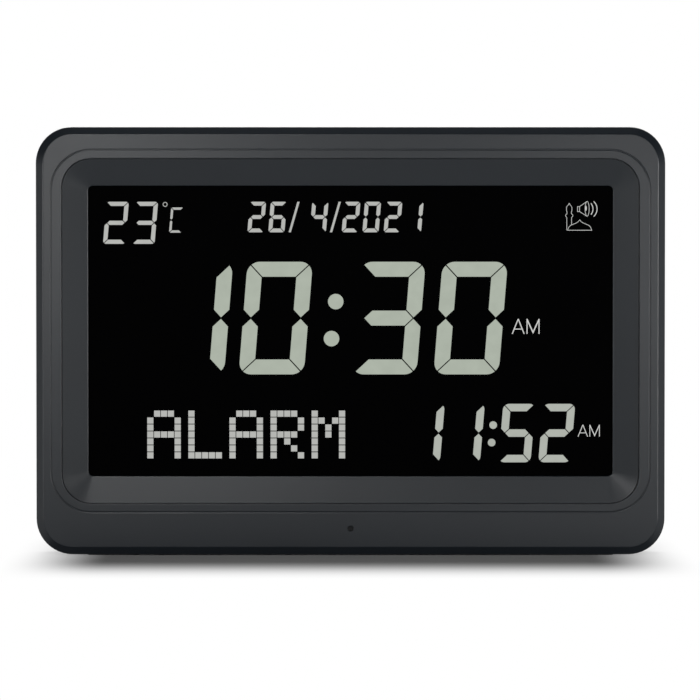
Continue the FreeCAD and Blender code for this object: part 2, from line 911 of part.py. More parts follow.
def backlight_frame():
    outer = plate(frame_width, frame_height, frame_corner_radius, display_y, frame_back_y, window_z)
    inner = plate(frame_width - 2 * frame_wall, frame_height - 2 * frame_wall, glass_corner_radius,
                  display_y, frame_floor_y, window_z)
    ears = []
    half = ear_width / 2
    reach = display_post_radius + display_post_edge
    for x, z in display_post_places():
        if abs(x) > frame_width / 2:
            near = math.copysign(frame_width / 2 - frame_wall, x)
            far = x + math.copysign(reach, x)
            ears.append(block(min(near, far), max(near, far), ear_y, ear_y + ear_thickness,
                              z - half, z + half))
        else:
            up = z - window_z
            near = window_z + math.copysign(frame_height / 2 - frame_wall, up)
            far = z + math.copysign(reach, up)
            ears.append(block(x - half, x + half, ear_y, ear_y + ear_thickness,
                              min(near, far), max(near, far)))
    posts = [small_post(x, z, frame_back_y, board_y, board_post_radius) for x, z in board_screw_places()]
    body = fused([outer] + ears + posts)
    holes = [rod_y(small_screw_radius + screw_clearance, ear_y, ear_y + ear_thickness, x, z)
             for x, z in display_post_places()]
    holes += [rod_y(small_screw_radius + pilot_clearance, frame_floor_y, board_y, x, z)
              for x, z in board_screw_places()]
    lead_x, lead_z = backlight_lead_place()
    holes.append(rod_y(lead_radius + screw_clearance, frame_floor_y, frame_back_y, lead_x, lead_z))
    return body.cut(inner).cut(holes + [ribbon_slot()])


def display_screws():
    return [small_screw(x, z, ear_y + ear_thickness, 1) for x, z in display_post_places()]


def display_ribbon():
    """Flat ribbon from the glass, under the frame and up to the main board."""
    half = ribbon_width / 2
    x0 = ribbon_x - half
    x1 = ribbon_x + half
    glass_low = window_z - glass_height / 2
    thick = ribbon_thickness
    rise_y = board_back_y + socket_depth / 4
    face = block(x0, x1, rear_glass_y - thick, rear_glass_y, ribbon_bottom_z, glass_low + contact_overlap)
    under = block(x0, x1, rear_glass_y - thick, rise_y + thick, ribbon_bottom_z, ribbon_bottom_z + thick)
    rise = block(x0, x1, rise_y, rise_y + thick, ribbon_bottom_z, ribbon_socket_bottom())
    return fused([face, under, rise])


# ---- Main board ----

def board_screw_places():
    places = []
    for x in [board_left_x + board_hole_inset, board_right_x - board_hole_inset]:
        for z in [board_bottom_z + board_hole_inset, board_top_z - board_hole_inset]:
            places.append((x, z))
    return places


def main_board():
    body = block(board_left_x, board_right_x, board_y, board_back_y, board_bottom_z, board_top_z)
    holes = [rod_y(small_screw_radius + screw_clearance, board_y, board_back_y, x, z)
             for x, z in board_screw_places()]
    return body.cut(holes)


def sensor_screw_places():
    return [(-sensor_post_offset, sensor_z), (sensor_post_offset, sensor_z)]


def board_screws():
    seat = board_back_y
    screws = [small_screw(x, z, seat, 1) for x, z in board_screw_places()]
    seat = sensor_board_y + board_thickness
    screws += [small_screw(x, z, seat, 1) for x, z in sensor_screw_places()]
    screws += [small_screw(x, z, key_board_y, -1) for x, z in key_board_post_places()]
    return screws


def chip(width, height, thickness, x, z):
    """Packaged chip with a chamfered rim, on the rear side of the main board."""
    corner = chip_corner_radius
    low = plate(width, height, corner, board_back_y, board_back_y + thickness / 2, z, x)
    top = taper(rounded_wire(width, height, corner, board_back_y + thickness / 2, z, x),
                rounded_wire(width - 2 * chip_bevel, height - 2 * chip_bevel, corner,
                             board_back_y + thickness, z, x))
    return fused([low, top])


def on_board(across, up):
    """Place on the main board, as shares of its width from the middle and of its height."""
    return board_centre_x + board_width * across, board_bottom_z + board_height * up


def processor_chip():
    x, z = on_board(0.1, 0.5)
    return chip(processor_size, processor_size, chip_thickness, x, z)


def sound_chip():
    x, z = on_board(-0.15, 0.45)
    return chip(sound_chip_width, sound_chip_height, chip_thickness, x, z)


def amplifier_chip():
    x, z = on_board(-0.32, 0.6)
    return chip(amplifier_width, amplifier_height, chip_thickness, x, z)


def crystal_can():
    x, z = on_board(0.1, 0.75)
    return plate(crystal_width, crystal_height, crystal_height / 2 - 0.05, board_back_y,
                 board_back_y + crystal_thickness, z, x)


def capacitors():
    cans = []
    for across, up, radius in [(0.28, 0.55, large_can_radius), (0.36, 0.72, small_can_radius),
                               (-0.32, 0.4, small_can_radius)]:
        x, z = on_board(across, up)
        end_y = board_back_y + 2.5 * radius
        cans.append(soften(rod_y(radius, board_back_y, end_y, x, z), end_y, radius / 8))
    return cans


def lower_socket_z():
    return board_bottom_z + socket_height / 2 + socket_edge_margin


def upper_socket_z():
    return board_top_z - socket_height / 2 - socket_edge_margin


def socket_places():
    """Lead sockets along the lower and the upper edge of the main board."""
    first = board_left_x + board_hole_inset + socket_width
    last = ribbon_x - ribbon_width / 2 - ribbon_socket_margin - ribbon_socket_gap - socket_width / 2
    step = (last - first) / 3
    lower = [(first + index * step, lower_socket_z()) for index in range(4)]
    upper = [(first + index * step, upper_socket_z()) for index in range(2)]
    return lower + upper


def board_sockets():
    half = socket_width / 2
    return [block(x - half, x + half, board_back_y, board_back_y + socket_depth,
                  z - socket_height / 2, z + socket_height / 2) for x, z in socket_places()]


def ribbon_socket_bottom():
    return lower_socket_z() - socket_height / 2


def ribbon_socket():
    half = ribbon_width / 2 + ribbon_socket_margin
    low = ribbon_socket_bottom()
    return block(ribbon_x - half, ribbon_x + half, board_back_y, board_back_y + ribbon_socket_depth,
                 low, low + socket_height)


def light_sensor():
    body = rod_y(sensor_radius, sensor_face_y, sensor_board_y, 0, sensor_z)
    return soften(body, sensor_face_y, sensor_radius * 0.5)


def sensor_board():
    body = plate(sensor_board_width, sensor_board_height, board_corner_radius, sensor_board_y,
                 sensor_board_y + board_thickness, sensor_z)
    holes = [rod_y(small_screw_radius + screw_clearance, sensor_board_y,
                   sensor_board_y + board_thickness, x, z) for x, z in sensor_screw_places()]
    return body.cut(holes)


# ---- Keys ----

def key_cap(x):
    cap = plate(key_width, key_height, key_height / 2, key_inner_y, key_floor_y + key_proud, key_z, x)
    cap = soften(cap, key_floor_y + key_proud, key_edge_radius)
    flange = plate(key_width + 2 * key_flange, key_height + 2 * key_flange, key_flange, key_flange_y,
                   key_inner_y, key_z, x)
    return fused([cap, flange])


def switch_plunger(x):
    return rod_y(plunger_radius, plunger_y, key_flange_y, x, key_z)


def switch_bodies():
    switches = []
    half = switch_size / 2
    bore = plunger_radius + plunger_clearance
    for name, x in key_places():
        body = block(x - half, x + half, key_board_back_y, switch_top_y, key_z - half, key_z + half)
        hole = rod_y(bore, plunger_y - key_travel - plunger_overtravel, switch_top_y, x, key_z)
        switches.append(body.cut(hole))
    return switches


def key_board():
    body = plate(2 * key_board_half, key_board_height, board_corner_radius, key_board_y,
                 key_board_back_y, key_z)
    holes = [rod_y(small_screw_radius + screw_clearance, key_board_y, key_board_back_y, x, z)
             for x, z in key_board_post_places()]
    return body.cut(holes)


# ---- Power ----

def cell_z(index):
    return bay_z + cell_spacing / 2 + cell_pitch / 2 + index * cell_pitch


def cell_way(index):
    """+1 where the cell's positive end points to +X; neighbours are turned end for end."""
    return 1 if index % 2 == 0 else -1


def battery_cell(index):
    way = cell_way(index)
    tip = way * (bay_half_length - contact_thickness)
    shoulder = tip - way * cell_nub_length
    flat = shoulder - way * cell_body_length
    can = rod_x(cell_radius, min(flat, shoulder), max(flat, shoulder), cell_y, cell_z(index))
    rims = [edge for edge in can.Edges if edge.BoundBox.XLength < 1e-4]
    can = can.makeFillet(cell_edge_radius, rims)
    nub = rod_x(cell_nub_radius, min(shoulder, tip), max(shoulder, tip), cell_y, cell_z(index))
    return fused([can, nub])


def contact_plate(index, way):
    half = contact_size / 2
    near = way * (bay_half_length - contact_thickness)
    far = way * bay_half_length
    return block(min(near, far), max(near, far), cell_y - half, cell_y + half,
                 cell_z(index) - half, cell_z(index) + half)


def spring_contact(index):
    """Coil spring that presses on the cell's flat end."""
    way = -cell_way(index)
    rise = spring_length - 2 * spring_wire_radius
    helix = Part.makeHelix(rise / spring_turns, rise, spring_radius)
    profile = Part.Wire([Part.Circle(vector(spring_radius, 0, 0), vector(0, 1, 0),
                                     spring_wire_radius).toShape()])
    spring = Part.Wire(helix).makePipeShell([profile], True, True)
    spring.rotate(vector(0, 0, 0), vector(0, 1, 0), -90 * way)
    plate_face = way * (bay_half_length - contact_thickness - spring_wire_radius)
    spring.translate(vector(plate_face, cell_y, cell_z(index)))
    return spring


def spring_contacts():
    return [spring_contact(index) for index in range(3)]


def plate_contacts():
    plates = []
    for index in range(3):
        for way in [-1, 1]:
            plates.append(contact_plate(index, way))
    return plates


def battery_door():
    lower_z = door_axis_z
    panel = block(-door_half_length, door_half_length, door_inner_y, back_y, lower_z, door_top_z)
    rolled_edge = rod_x(door_thickness / 2, -door_half_length, door_half_length, door_axis_y, door_axis_z)
    pins = rod_x(door_pin_radius, -door_half_length - door_pin_length, door_half_length + door_pin_length,
                 door_axis_y, door_axis_z)
    body = fused([panel, rolled_edge, pins])
    grips = []
    for index in range(grip_count):
        z = door_top_z - grip_pitch * (index + 2)
        grips.append(plate(grip_length, grip_width, grip_width * 0.49, back_y - grip_depth, back_y, z))
    return body.cut(grips)


def jack_housing():
    half = inlet_width / 2
    half_height = inlet_body_height / 2
    body = block(inlet_x - half, inlet_x + half, inlet_back_y, rear_inner_y, inlet_z - half_height,
                 inlet_z + half_height)
    bore = rod_y(inlet_bore_radius, rear_inner_y - inlet_bore_depth, rear_inner_y, inlet_x, inlet_z)
    return body.cut([bore, jack_pin_root()])


def jack_pin_root():
    bore_end = rear_inner_y - inlet_bore_depth
    return rod_y(inlet_pin_root_radius, bore_end - inlet_pin_root_length, bore_end, inlet_x, inlet_z)


def jack_pin():
    tip_y = rear_inner_y - inlet_pin_setback
    pin = rod_y(inlet_pin_radius, rear_inner_y - inlet_bore_depth, tip_y, inlet_x, inlet_z)
    return fused([soften(pin, tip_y, inlet_pin_radius / 4), jack_pin_root()])


# ---- Speaker ----

def speaker_frame():
    inner_rim = speaker_radius - speaker_flange_width
    basket = magnet_radius - speaker_wall
    profile = [
        (speaker_radius, speaker_rim_y),
        (speaker_radius, speaker_flange_y),
        (inner_rim + speaker_wall, speaker_flange_y),
        (magnet_radius, speaker_plate_y + speaker_wall),
        (magnet_radius, speaker_plate_y),
        (coil_radius + 2 * speaker_wall, speaker_plate_y),
        (coil_radius + 2 * speaker_wall, speaker_plate_y + speaker_wall),
        (basket, speaker_plate_y + speaker_wall),
        (inner_rim, speaker_flange_y),
        (inner_rim, speaker_rim_y),
    ]
    return turned(profile, speaker_x, speaker_z)


def speaker_magnet():
    disc = rod_y(magnet_radius, speaker_back_y, speaker_plate_y, speaker_x, speaker_z)
    pole = rod_y(pole_radius, speaker_plate_y, speaker_plate_y + neck_height, speaker_x, speaker_z)
    return fused([soften(disc, speaker_back_y, magnet_edge_radius), pole])


def cone_neck_y():
    return speaker_plate_y + neck_height


def speaker_cone():
    rim = speaker_radius - speaker_flange_width
    neck = coil_radius + coil_wall
    thick = cone_thickness
    profile = [
        (coil_radius, speaker_plate_y + speaker_wall),
        (neck, speaker_plate_y + speaker_wall),
        (neck, cone_neck_y()),
        (rim - cone_edge_width, speaker_flange_y - thick),
        (rim, speaker_flange_y),
        (rim, speaker_flange_y + thick),
        (rim - cone_edge_width, speaker_flange_y + thick),
        (coil_radius, cone_neck_y() + thick),
    ]
    return turned(profile, speaker_x, speaker_z)


def speaker_dust_cap():
    """Shallow dome that closes the cone's neck."""
    base_y = cone_neck_y() + cone_thickness
    radius = (coil_radius ** 2 + cap_height ** 2) / (2 * cap_height)
    centre = vector(speaker_x, base_y + cap_height - radius, speaker_z)
    outer = Part.makeSphere(radius, centre)
    inner = Part.makeSphere(radius - cone_thickness, centre)
    keep = rod_y(coil_radius, base_y, base_y + cap_height, speaker_x, speaker_z)
    return outer.cut(inner).common(keep)


def speaker_gasket():
    ring = rod_y(speaker_radius, speaker_rim_y, rear_inner_y, speaker_x, speaker_z)
    return ring.cut(rod_y(speaker_radius - speaker_flange_width, speaker_rim_y, rear_inner_y,
                          speaker_x, speaker_z))


def speaker_screws():
    length = rear_inner_y - speaker_flange_y
    return [screw(x, z, speaker_flange_y, -1, small_screw_radius, length, small_head_radius,
                  small_head_height) for x, z in speaker_screw_places()]


# ---- Stand ----

def stand_leg(x):
    half = leg_width / 2
    inner_y = leg_y - leg_thickness / 2
    outer_y = leg_y + leg_thickness / 2
    low_z = leg_foot_z + leg_pad_height
    slab = block(x - half, x + half, inner_y, outer_y, low_z, leg_axis_z)
    knuckle = rod_x(leg_thickness / 2, x - half, x + half, leg_y, leg_axis_z)
    body = fused([slab, knuckle])
    margin = leg_panel_margin
    middle_z = (low_z + leg_axis_z) / 2
    panel_height = leg_axis_z - low_z - 4 * margin
    body = body.cut(plate(leg_width - 2 * margin, panel_height, margin / 2, outer_y - leg_panel_depth,
                          outer_y, middle_z, x))
    body = body.cut(plate(leg_width - 2 * margin, panel_height, margin / 2, inner_y,
                          inner_y + leg_panel_depth, middle_z, x))
    return body.cut(rod_x(leg_pin_radius + leg_pin_fit, x - half, x + half, leg_y, leg_axis_z))


def leg_pad(x):
    half = leg_width / 2
    pad = block(x - half, x + half, leg_y - leg_thickness / 2, leg_y + leg_thickness / 2,
                leg_foot_z, leg_foot_z + leg_pad_height)
    lower = [edge for edge in pad.Edges
             if edge.BoundBox.XLength > half and edge.BoundBox.ZMax < leg_foot_z + 1e-4]
    return pad.makeFillet(leg_pad_height * 0.4, lower)


def stand_pins():
    return [leg_pin_rod(-leg_x), leg_pin_rod(leg_x)]


# ---- Leads ----

def backlight_lead_place():
    x = -glass_width / 2 - frame_clearance + lead_radius + lead_wall_gap
    return x, window_z - glass_height / 3


def leads():
    """Wires from the main board to the sensor, cells, inlet, backlight, speaker and keys."""
    places = socket_places()
    lower = places[:4]
    upper = places[4:]
    plug_y = board_back_y + socket_depth / 2
    low_end = lower_socket_z() - socket_height / 2
    high_end = upper_socket_z() + socket_height / 2
    bay_top = bay_z + bay_height + bay_wall
    beside_bay = -bay_half_length - bay_wall - lead_clearance
    turn_z = (bay_top + low_end) / 2
    light_x, light_z = backlight_lead_place()
    backlight_route = [
        (light_x, reflector_y, light_z),
        (light_x, plug_y, light_z),
        (light_x + lead_run, plug_y, turn_z + lead_spacing),
        (lower[0][0], plug_y, turn_z + lead_spacing),
        (lower[0][0], plug_y, low_end),
    ]
    sensor_route = [
        (0, sensor_board_y + board_thickness, sensor_z),
        (0, plug_y, sensor_z),
        (beside_bay, plug_y, sensor_z),
        (beside_bay, plug_y, turn_z - lead_spacing),
        (lower[1][0], plug_y, turn_z - lead_spacing),
        (lower[1][0], plug_y, low_end),
    ]
    cell_route = [
        (lower[2][0], plug_y, bay_top),
        (lower[2][0], plug_y, low_end),
    ]
    inlet_lead_y = inlet_back_y + inlet_length / 4
    inlet_route = [
        (inlet_x, inlet_lead_y, inlet_z + inlet_body_height / 2),
        (inlet_x, inlet_lead_y, inlet_z + lead_run),
        (ribbon_x, inlet_lead_y, turn_z - lead_spacing),
        (lower[3][0], plug_y, turn_z),
        (lower[3][0], plug_y, low_end),
    ]
    terminal_x = speaker_x + magnet_radius
    terminal_y = (speaker_back_y + speaker_plate_y) / 2
    speaker_route = [
        (terminal_x, terminal_y, speaker_z),
        (terminal_x + lead_run / 3, terminal_y, speaker_z),
        (board_left_x - lead_spacing, plug_y, high_end + 2 * lead_spacing),
        (upper[0][0], plug_y, high_end + 2 * lead_spacing),
        (upper[0][0], plug_y, high_end),
    ]
    key_route = [
        (upper[1][0], key_board_y, key_z),
        (upper[1][0], plug_y, key_z),
        (upper[1][0], plug_y, high_end),
    ]
    routes = [backlight_route, sensor_route, cell_route, inlet_route, speaker_route, key_route]
    return [routed_tube(route, lead_radius, lead_bend) for route in routes]


def save(name, shape):
    """Writes one node; a list of solids is one group."""
    if isinstance(shape, list):
        shape = Part.makeCompound(shape)
    shape.exportStep("parts/" + name + ".step")


def main():
    os.makedirs("parts", exist_ok=True)
    single = [
        front_shell, display_bezel, rear_cover, housing_screws, rubber_feet,
        front_polariser, front_glass, rear_glass, rear_polariser, diffuser_sheet, light_guide,
        reflector_sheet, backlight_frame, backlight_board, backlight_leds, display_screws,
        display_ribbon, main_board, board_screws, processor_chip, sound_chip, amplifier_chip,
        crystal_can, capacitors, board_sockets, ribbon_socket, light_sensor, sensor_board,
        key_board, switch_bodies, spring_contacts, plate_contacts, battery_door, jack_housing,
        jack_pin, speaker_frame, speaker_magnet, speaker_cone, speaker_dust_cap, speaker_gasket,
        speaker_screws, stand_pins, leads,
    ]
    for make in single:
        save(make.__name__, make())
    for name, x in key_places():
        save("key_" + name, key_cap(x))
        save("plunger_" + name, switch_plunger(x))
    for index in range(3):
        save("battery_cell_" + str(index + 1), battery_cell(index))
    for side, x in [("left", -leg_x), ("right", leg_x)]:
        save("stand_leg_" + side, stand_leg(x))
        save("leg_pad_" + side, leg_pad(x))


main()
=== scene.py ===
import json
import math

import bmesh
import bpy
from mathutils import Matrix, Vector


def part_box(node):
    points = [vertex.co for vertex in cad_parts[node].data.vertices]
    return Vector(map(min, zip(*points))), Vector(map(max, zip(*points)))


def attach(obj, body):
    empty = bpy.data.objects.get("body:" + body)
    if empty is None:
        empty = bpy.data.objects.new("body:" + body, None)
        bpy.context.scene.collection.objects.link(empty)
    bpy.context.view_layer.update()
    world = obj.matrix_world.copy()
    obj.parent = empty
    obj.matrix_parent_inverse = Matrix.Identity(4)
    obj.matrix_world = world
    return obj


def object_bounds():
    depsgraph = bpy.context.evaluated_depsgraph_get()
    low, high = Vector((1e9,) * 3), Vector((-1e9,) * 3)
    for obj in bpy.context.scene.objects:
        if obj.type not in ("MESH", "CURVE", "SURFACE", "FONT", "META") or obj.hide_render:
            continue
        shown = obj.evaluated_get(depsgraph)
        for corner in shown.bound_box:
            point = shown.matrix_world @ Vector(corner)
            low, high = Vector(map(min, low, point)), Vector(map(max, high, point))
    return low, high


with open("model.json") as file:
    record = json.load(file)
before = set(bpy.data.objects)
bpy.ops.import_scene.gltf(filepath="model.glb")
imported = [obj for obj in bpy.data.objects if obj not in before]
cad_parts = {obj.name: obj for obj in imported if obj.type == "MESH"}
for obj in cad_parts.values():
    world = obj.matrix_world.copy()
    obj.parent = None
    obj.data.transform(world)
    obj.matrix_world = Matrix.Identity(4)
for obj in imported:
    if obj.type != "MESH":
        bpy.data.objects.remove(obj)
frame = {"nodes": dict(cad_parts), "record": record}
cad_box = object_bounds()
nodes = frame["nodes"]
scene = bpy.context.scene

# The looks of an azan clock. Metres, in the part's own frame: +Z up, the display faces -Y.
MM = 0.001
WHITE = (1, 1, 1, 1)

# ---- Places read from the frame ----
film_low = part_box("front_polariser")[0]
shell_low, shell_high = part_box("front_shell")
SHELL_MIDDLE = (shell_low + shell_high) / 2
# How far the display's film reaches past the window that shows it
FILM_SIDE_MARGIN = 4.6 * MM
FILM_LOWER_MARGIN = 1.6 * MM
WINDOW_LEFT = film_low.x + FILM_SIDE_MARGIN
WINDOW_BOTTOM = film_low.z + FILM_LOWER_MARGIN
DISPLAY_Y = film_low.y

# ---- Segment characters: sizes in mm; upright and level are the widths of the strokes ----
LIT_SEGMENTS = {
    "0": "abcdef", "1": "bc", "2": "abged", "3": "abgcd", "4": "fgbc", "5": "afgcd",
    "6": "afgedc", "C": "afed",
}
TIME_STYLE = {"height": 66.35, "width": 38.4, "upright": 9.0, "level": 8.8, "radius": 7.2,
              "gap": 0.65, "slant": 0.080}
ALARM_STYLE = {"height": 34.5, "width": 18.9, "upright": 4.45, "level": 4.4, "radius": 3.5,
               "gap": 0.5, "slant": 0.083}
DATE_STYLE = {"height": 17.95, "width": 9.5, "upright": 2.25, "level": 2.25, "radius": 1.6,
              "gap": 0.42, "slant": 0.085}
HEAT_STYLE = {"height": 24.75, "width": 13.15, "upright": 2.45, "level": 2.45, "radius": 1.8,
              "gap": 0.45, "slant": 0.085}
UNIT_STYLE = {"height": 14.8, "width": 7.3, "upright": 1.33, "level": 1.33, "radius": 1.0,
              "gap": 0.4, "slant": 0.085}

# ---- Where the characters stand, in mm from the window's lower left corner ----
TIME_DIGITS = {"text": "1030", "lefts": [41.55, 88.5, 154.9, 203.3], "base": 59.9,
               "style": TIME_STYLE}
TIME_DOTS = [(145.7, 102.8), (143.2, 81.0)]
TIME_DOT_RADIUS = 4.57
TIME_AM = {"left": 249.35, "base": 83.8, "height": 8.8, "stroke": 0.6}

ALARM_DIGITS = {"text": "1152", "lefts": [188.2, 211.8, 241.6, 265.1], "base": 8.05,
                "style": ALARM_STYLE}
ALARM_DOTS = [(238.5, 30.0), (237.6, 19.7)]
ALARM_DOT_RADIUS = 2.25
ALARM_AM = {"left": 288.3, "base": 23.2, "height": 7.0, "stroke": 0.44}

DATE_DIGITS = {"text": "2642021", "lefts": [93.7, 106.0, 130.4, 149.2, 161.4, 173.9, 186.4],
               "base": 143.6, "style": DATE_STYLE}
SLASH_CENTRES = [121.2, 145.5]
SLASH_WIDTH = 1.34
SLASH_SLANT = 0.287

HEAT_DIGITS = {"text": "23", "lefts": [8.7, 25.9], "base": 136.8, "style": HEAT_STYLE}
HEAT_UNIT = {"text": "C", "lefts": [47.6], "base": 143.4, "style": UNIT_STYLE}
DEGREE_RING = {"x": 45.3, "y": 160.0, "radius": 1.2, "steps": 24}
DEGREE_LINE = 0.42

ALARM_WORD = {"word": "ALARM", "left": 34.6, "base": 10.35}
PICTOGRAM_PLACE = (281.3, 144.6)
CHARACTER_THICKNESS = 0.06 * MM

# ---- The thin letters: width and bar as shares of their height, pitch of their width ----
LETTER_WIDTH = 0.87
LETTER_PITCH = 1.14
BAR_PLACE = 0.29
# The bar's line as a share of the legs' line
BAR_STROKE = 0.9

# ---- Dot matrix: sizes in mm ----
DOT_LETTERS = {
    "A": [".###.", "#...#", "#...#", "#####", "#...#", "#...#", "#...#"],
    "L": ["#....", "#....", "#....", "#....", "#....", "#....", "#####"],
    "R": ["####.", "#...#", "#...#", "####.", "#.#..", "#..#.", "#...#"],
    "M": ["#...#", "##.##", "#.#.#", "#.#.#", "#...#", "#...#", "#...#"],
}
DOT_SIZE = 3.62
DOT_PITCH = 4.03
DOT_ROW_PITCH = 4.1
DOT_LETTER_PITCH = 24.22


# ---- Outlines, in mm ----

def rounded_box(width, height, radius, steps=8):
    """Outline of a rectangle with round corners, anticlockwise from its lower right corner."""
    points = []
    for quarter, (x, y) in enumerate([(width - radius, radius), (width - radius, height - radius),
                                      (radius, height - radius), (radius, radius)]):
        for step in range(steps + 1):
            angle = math.pi / 2 * (quarter - 1 + step / steps)
            points.append((x + radius * math.cos(angle), y + radius * math.sin(angle)))
    return points


def clip(points, a, b, least):
    """The part of a convex outline where a * x + b * y is at least that value."""
    kept = []
    for index, here in enumerate(points):
        there = points[(index + 1) % len(points)]
        depth = a * here[0] + b * here[1] - least
        next_depth = a * there[0] + b * there[1] - least
        if depth >= 0:
            kept.append(here)
        if depth * next_depth < 0:
            share = depth / (depth - next_depth)
            kept.append((here[0] + share * (there[0] - here[0]), here[1] + share * (there[1] - here[1])))
    return kept


def clip_all(points, planes):
    """The outline clipped by each (a, b, least) in turn."""
    for plane in planes:
        points = clip(points, *plane)
    return points


def mirrored(points, width=None, height=None):
    """The outline turned over sideways in a width, or upside down in a height."""
    if width is not None:
        turned = [(width - x, y) for x, y in points]
    else:
        turned = [(x, height - y) for x, y in points]
    return turned[::-1]


def shifted(points, left, base):
    """The outline moved right and up."""
    return [(left + x, base + y) for x, y in points]


def arc(x, y, radius_x, radius_y, start, end, steps=10):
    """Points along part of an ellipse; angles in degrees, anticlockwise from the right."""
    points = []
    for step in range(steps + 1):
        angle = math.radians(start + (end - start) * step / steps)
        points.append((x + radius_x * math.cos(angle), y + radius_y * math.sin(angle)))
    return points


def ellipse(x, y, radius_x, radius_y, steps=24):
    """Closed outline of an ellipse."""
    return arc(x, y, radius_x, radius_y, 0, 360 * (steps - 1) / steps, steps - 1)


def disc(x, y, radius, steps=40):
    """Outline of a round dot."""
    return ellipse(x, y, radius, radius, steps)


def segment_outlines(height, width, upright, level, radius, gap):
    """The seven segments of a digit, mitred at 45 degrees with a thin gap, before the slant."""
    body = rounded_box(width, height, radius)
    half_gap = gap / math.sqrt(2)
    middle = height / 2
    inner_x = width - upright
    inner_y = height - level
    tip_x = width - upright / 2
    top = clip_all(body, [(0, 1, inner_y), (1, 1, upright + inner_y + half_gap),
                          (-1, 1, inner_y - inner_x + half_gap)])
    right = clip_all(body, [(1, 0, inner_x), (1, -1, inner_x - inner_y + half_gap),
                            (-1, 1, middle - tip_x + half_gap), (1, 1, middle + tip_x + half_gap)])
    centre = clip_all(body, [(0, 1, middle - level / 2), (0, -1, -middle - level / 2),
                             (1, 1, upright / 2 + middle + half_gap),
                             (1, -1, upright / 2 - middle + half_gap),
                             (-1, 1, middle - tip_x + half_gap),
                             (-1, -1, -middle - tip_x + half_gap)])
    lower_right = mirrored(right, height=height)
    return {"a": top, "b": right, "c": lower_right, "d": mirrored(top, height=height),
            "e": mirrored(lower_right, width=width), "f": mirrored(right, width=width), "g": centre}


def digit(character, left, base, style):
    """Outlines of one lit digit, slanted, with its lower left corner at left and base."""
    sizes = {key: value for key, value in style.items() if key != "slant"}
    segments = segment_outlines(**sizes)
    outlines = []
    for name in LIT_SEGMENTS[character]:
        outlines.append([(left + x + style["slant"] * y, base + y) for x, y in segments[name]])
    return outlines


def digits(text, lefts, base, style):
    """Outlines of a row of lit digits."""
    outlines = []
    for character, left in zip(text, lefts):
        outlines += digit(character, left, base, style)
    return outlines


def slash(centre, base, height, width, slant):
    """Leaning stroke with level ends."""
    low = centre - slant * height / 2
    high = centre + slant * height / 2
    return [(low - width / 2, base), (low + width / 2, base), (high + width / 2, base + height),
            (high - width / 2, base + height)]


def letter_a(width, height, stroke):
    """Thin capital A: two legs that meet at the top, and a bar."""
    centre = width / 2
    foot = stroke * math.hypot(centre, height) / height
    inside = height * (centre - foot) / (centre - foot / 2)
    leg = [(0, 0), (foot, 0), (centre, inside), (centre, height), (centre - foot / 2, height)]
    bar_low = BAR_PLACE * height
    bar_high = bar_low + stroke * BAR_STROKE
    lean = (centre - foot / 2) / height
    bar = [(foot + lean * bar_low, bar_low), (width - foot - lean * bar_low, bar_low),
           (width - foot - lean * bar_high, bar_high), (foot + lean * bar_high, bar_high)]
    return [leg, mirrored(leg, width=width), bar]


def letter_m(width, height, stroke):
    """Thin capital M whose middle reaches the base line."""
    centre = width / 2
    drop = stroke * math.hypot(centre - stroke, height) / (centre - stroke)
    stem = [(0, 0), (stroke, 0), (stroke, height), (0, height)]
    slope = [(stroke, height - drop), (centre, 0), (centre, drop), (stroke, height)]
    return [stem, slope, mirrored(slope, width=width), mirrored(stem, width=width)]


def am_label(left, base, height, stroke):
    """The two letters AM, at the proportions of a plain sans face."""
    width = LETTER_WIDTH * height
    second_left = left + LETTER_PITCH * width
    return ([shifted(outline, left, base) for outline in letter_a(width, height, stroke)]
            + [shifted(outline, second_left, base) for outline in letter_m(width, height, stroke)])


def dot_word(word, left, base):
    """Outlines of the lit dots of a word."""
    dot = [(0, 0), (DOT_SIZE, 0), (DOT_SIZE, DOT_SIZE), (0, DOT_SIZE)]
    outlines = []
    for index, letter in enumerate(word):
        rows = DOT_LETTERS[letter]
        for row, pattern in enumerate(rows):
            for column, mark in enumerate(pattern):
                if mark == "#":
                    x = left + index * DOT_LETTER_PITCH + column * DOT_PITCH
                    y = base + (len(rows) - 1 - row) * DOT_ROW_PITCH
                    outlines.append(shifted(dot, x, y))
    return outlines


# ---- Meshes ----
# A band's corner reaches out no further than its half width over this
MITRE_LIMIT = 0.4


def on_display(x, y, lift):
    """Place on the display's face, from mm in its window; lift is towards the viewer."""
    return Vector((WINDOW_LEFT + x * MM, DISPLAY_Y - lift, WINDOW_BOTTOM + y * MM))


def key_face(key):
    """Function that gives a place on a key's face, from mm about its middle, read from behind."""
    low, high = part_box(key)
    middle = (low + high) / 2

    def on_key(x, y, lift):
        return Vector((middle.x - x * MM, high.y + lift, middle.z + y * MM))

    return on_key


def add_prism(mesh, outline, place, thickness):
    """Flat closed solid with that outline."""
    front = [mesh.verts.new(place(x, y, thickness)) for x, y in outline]
    back = [mesh.verts.new(place(x, y, 0)) for x, y in outline]
    mesh.faces.new(front)
    mesh.faces.new(back[::-1])
    for index in range(len(outline)):
        following = (index + 1) % len(outline)
        mesh.faces.new([front[following], front[index], back[index], back[following]])


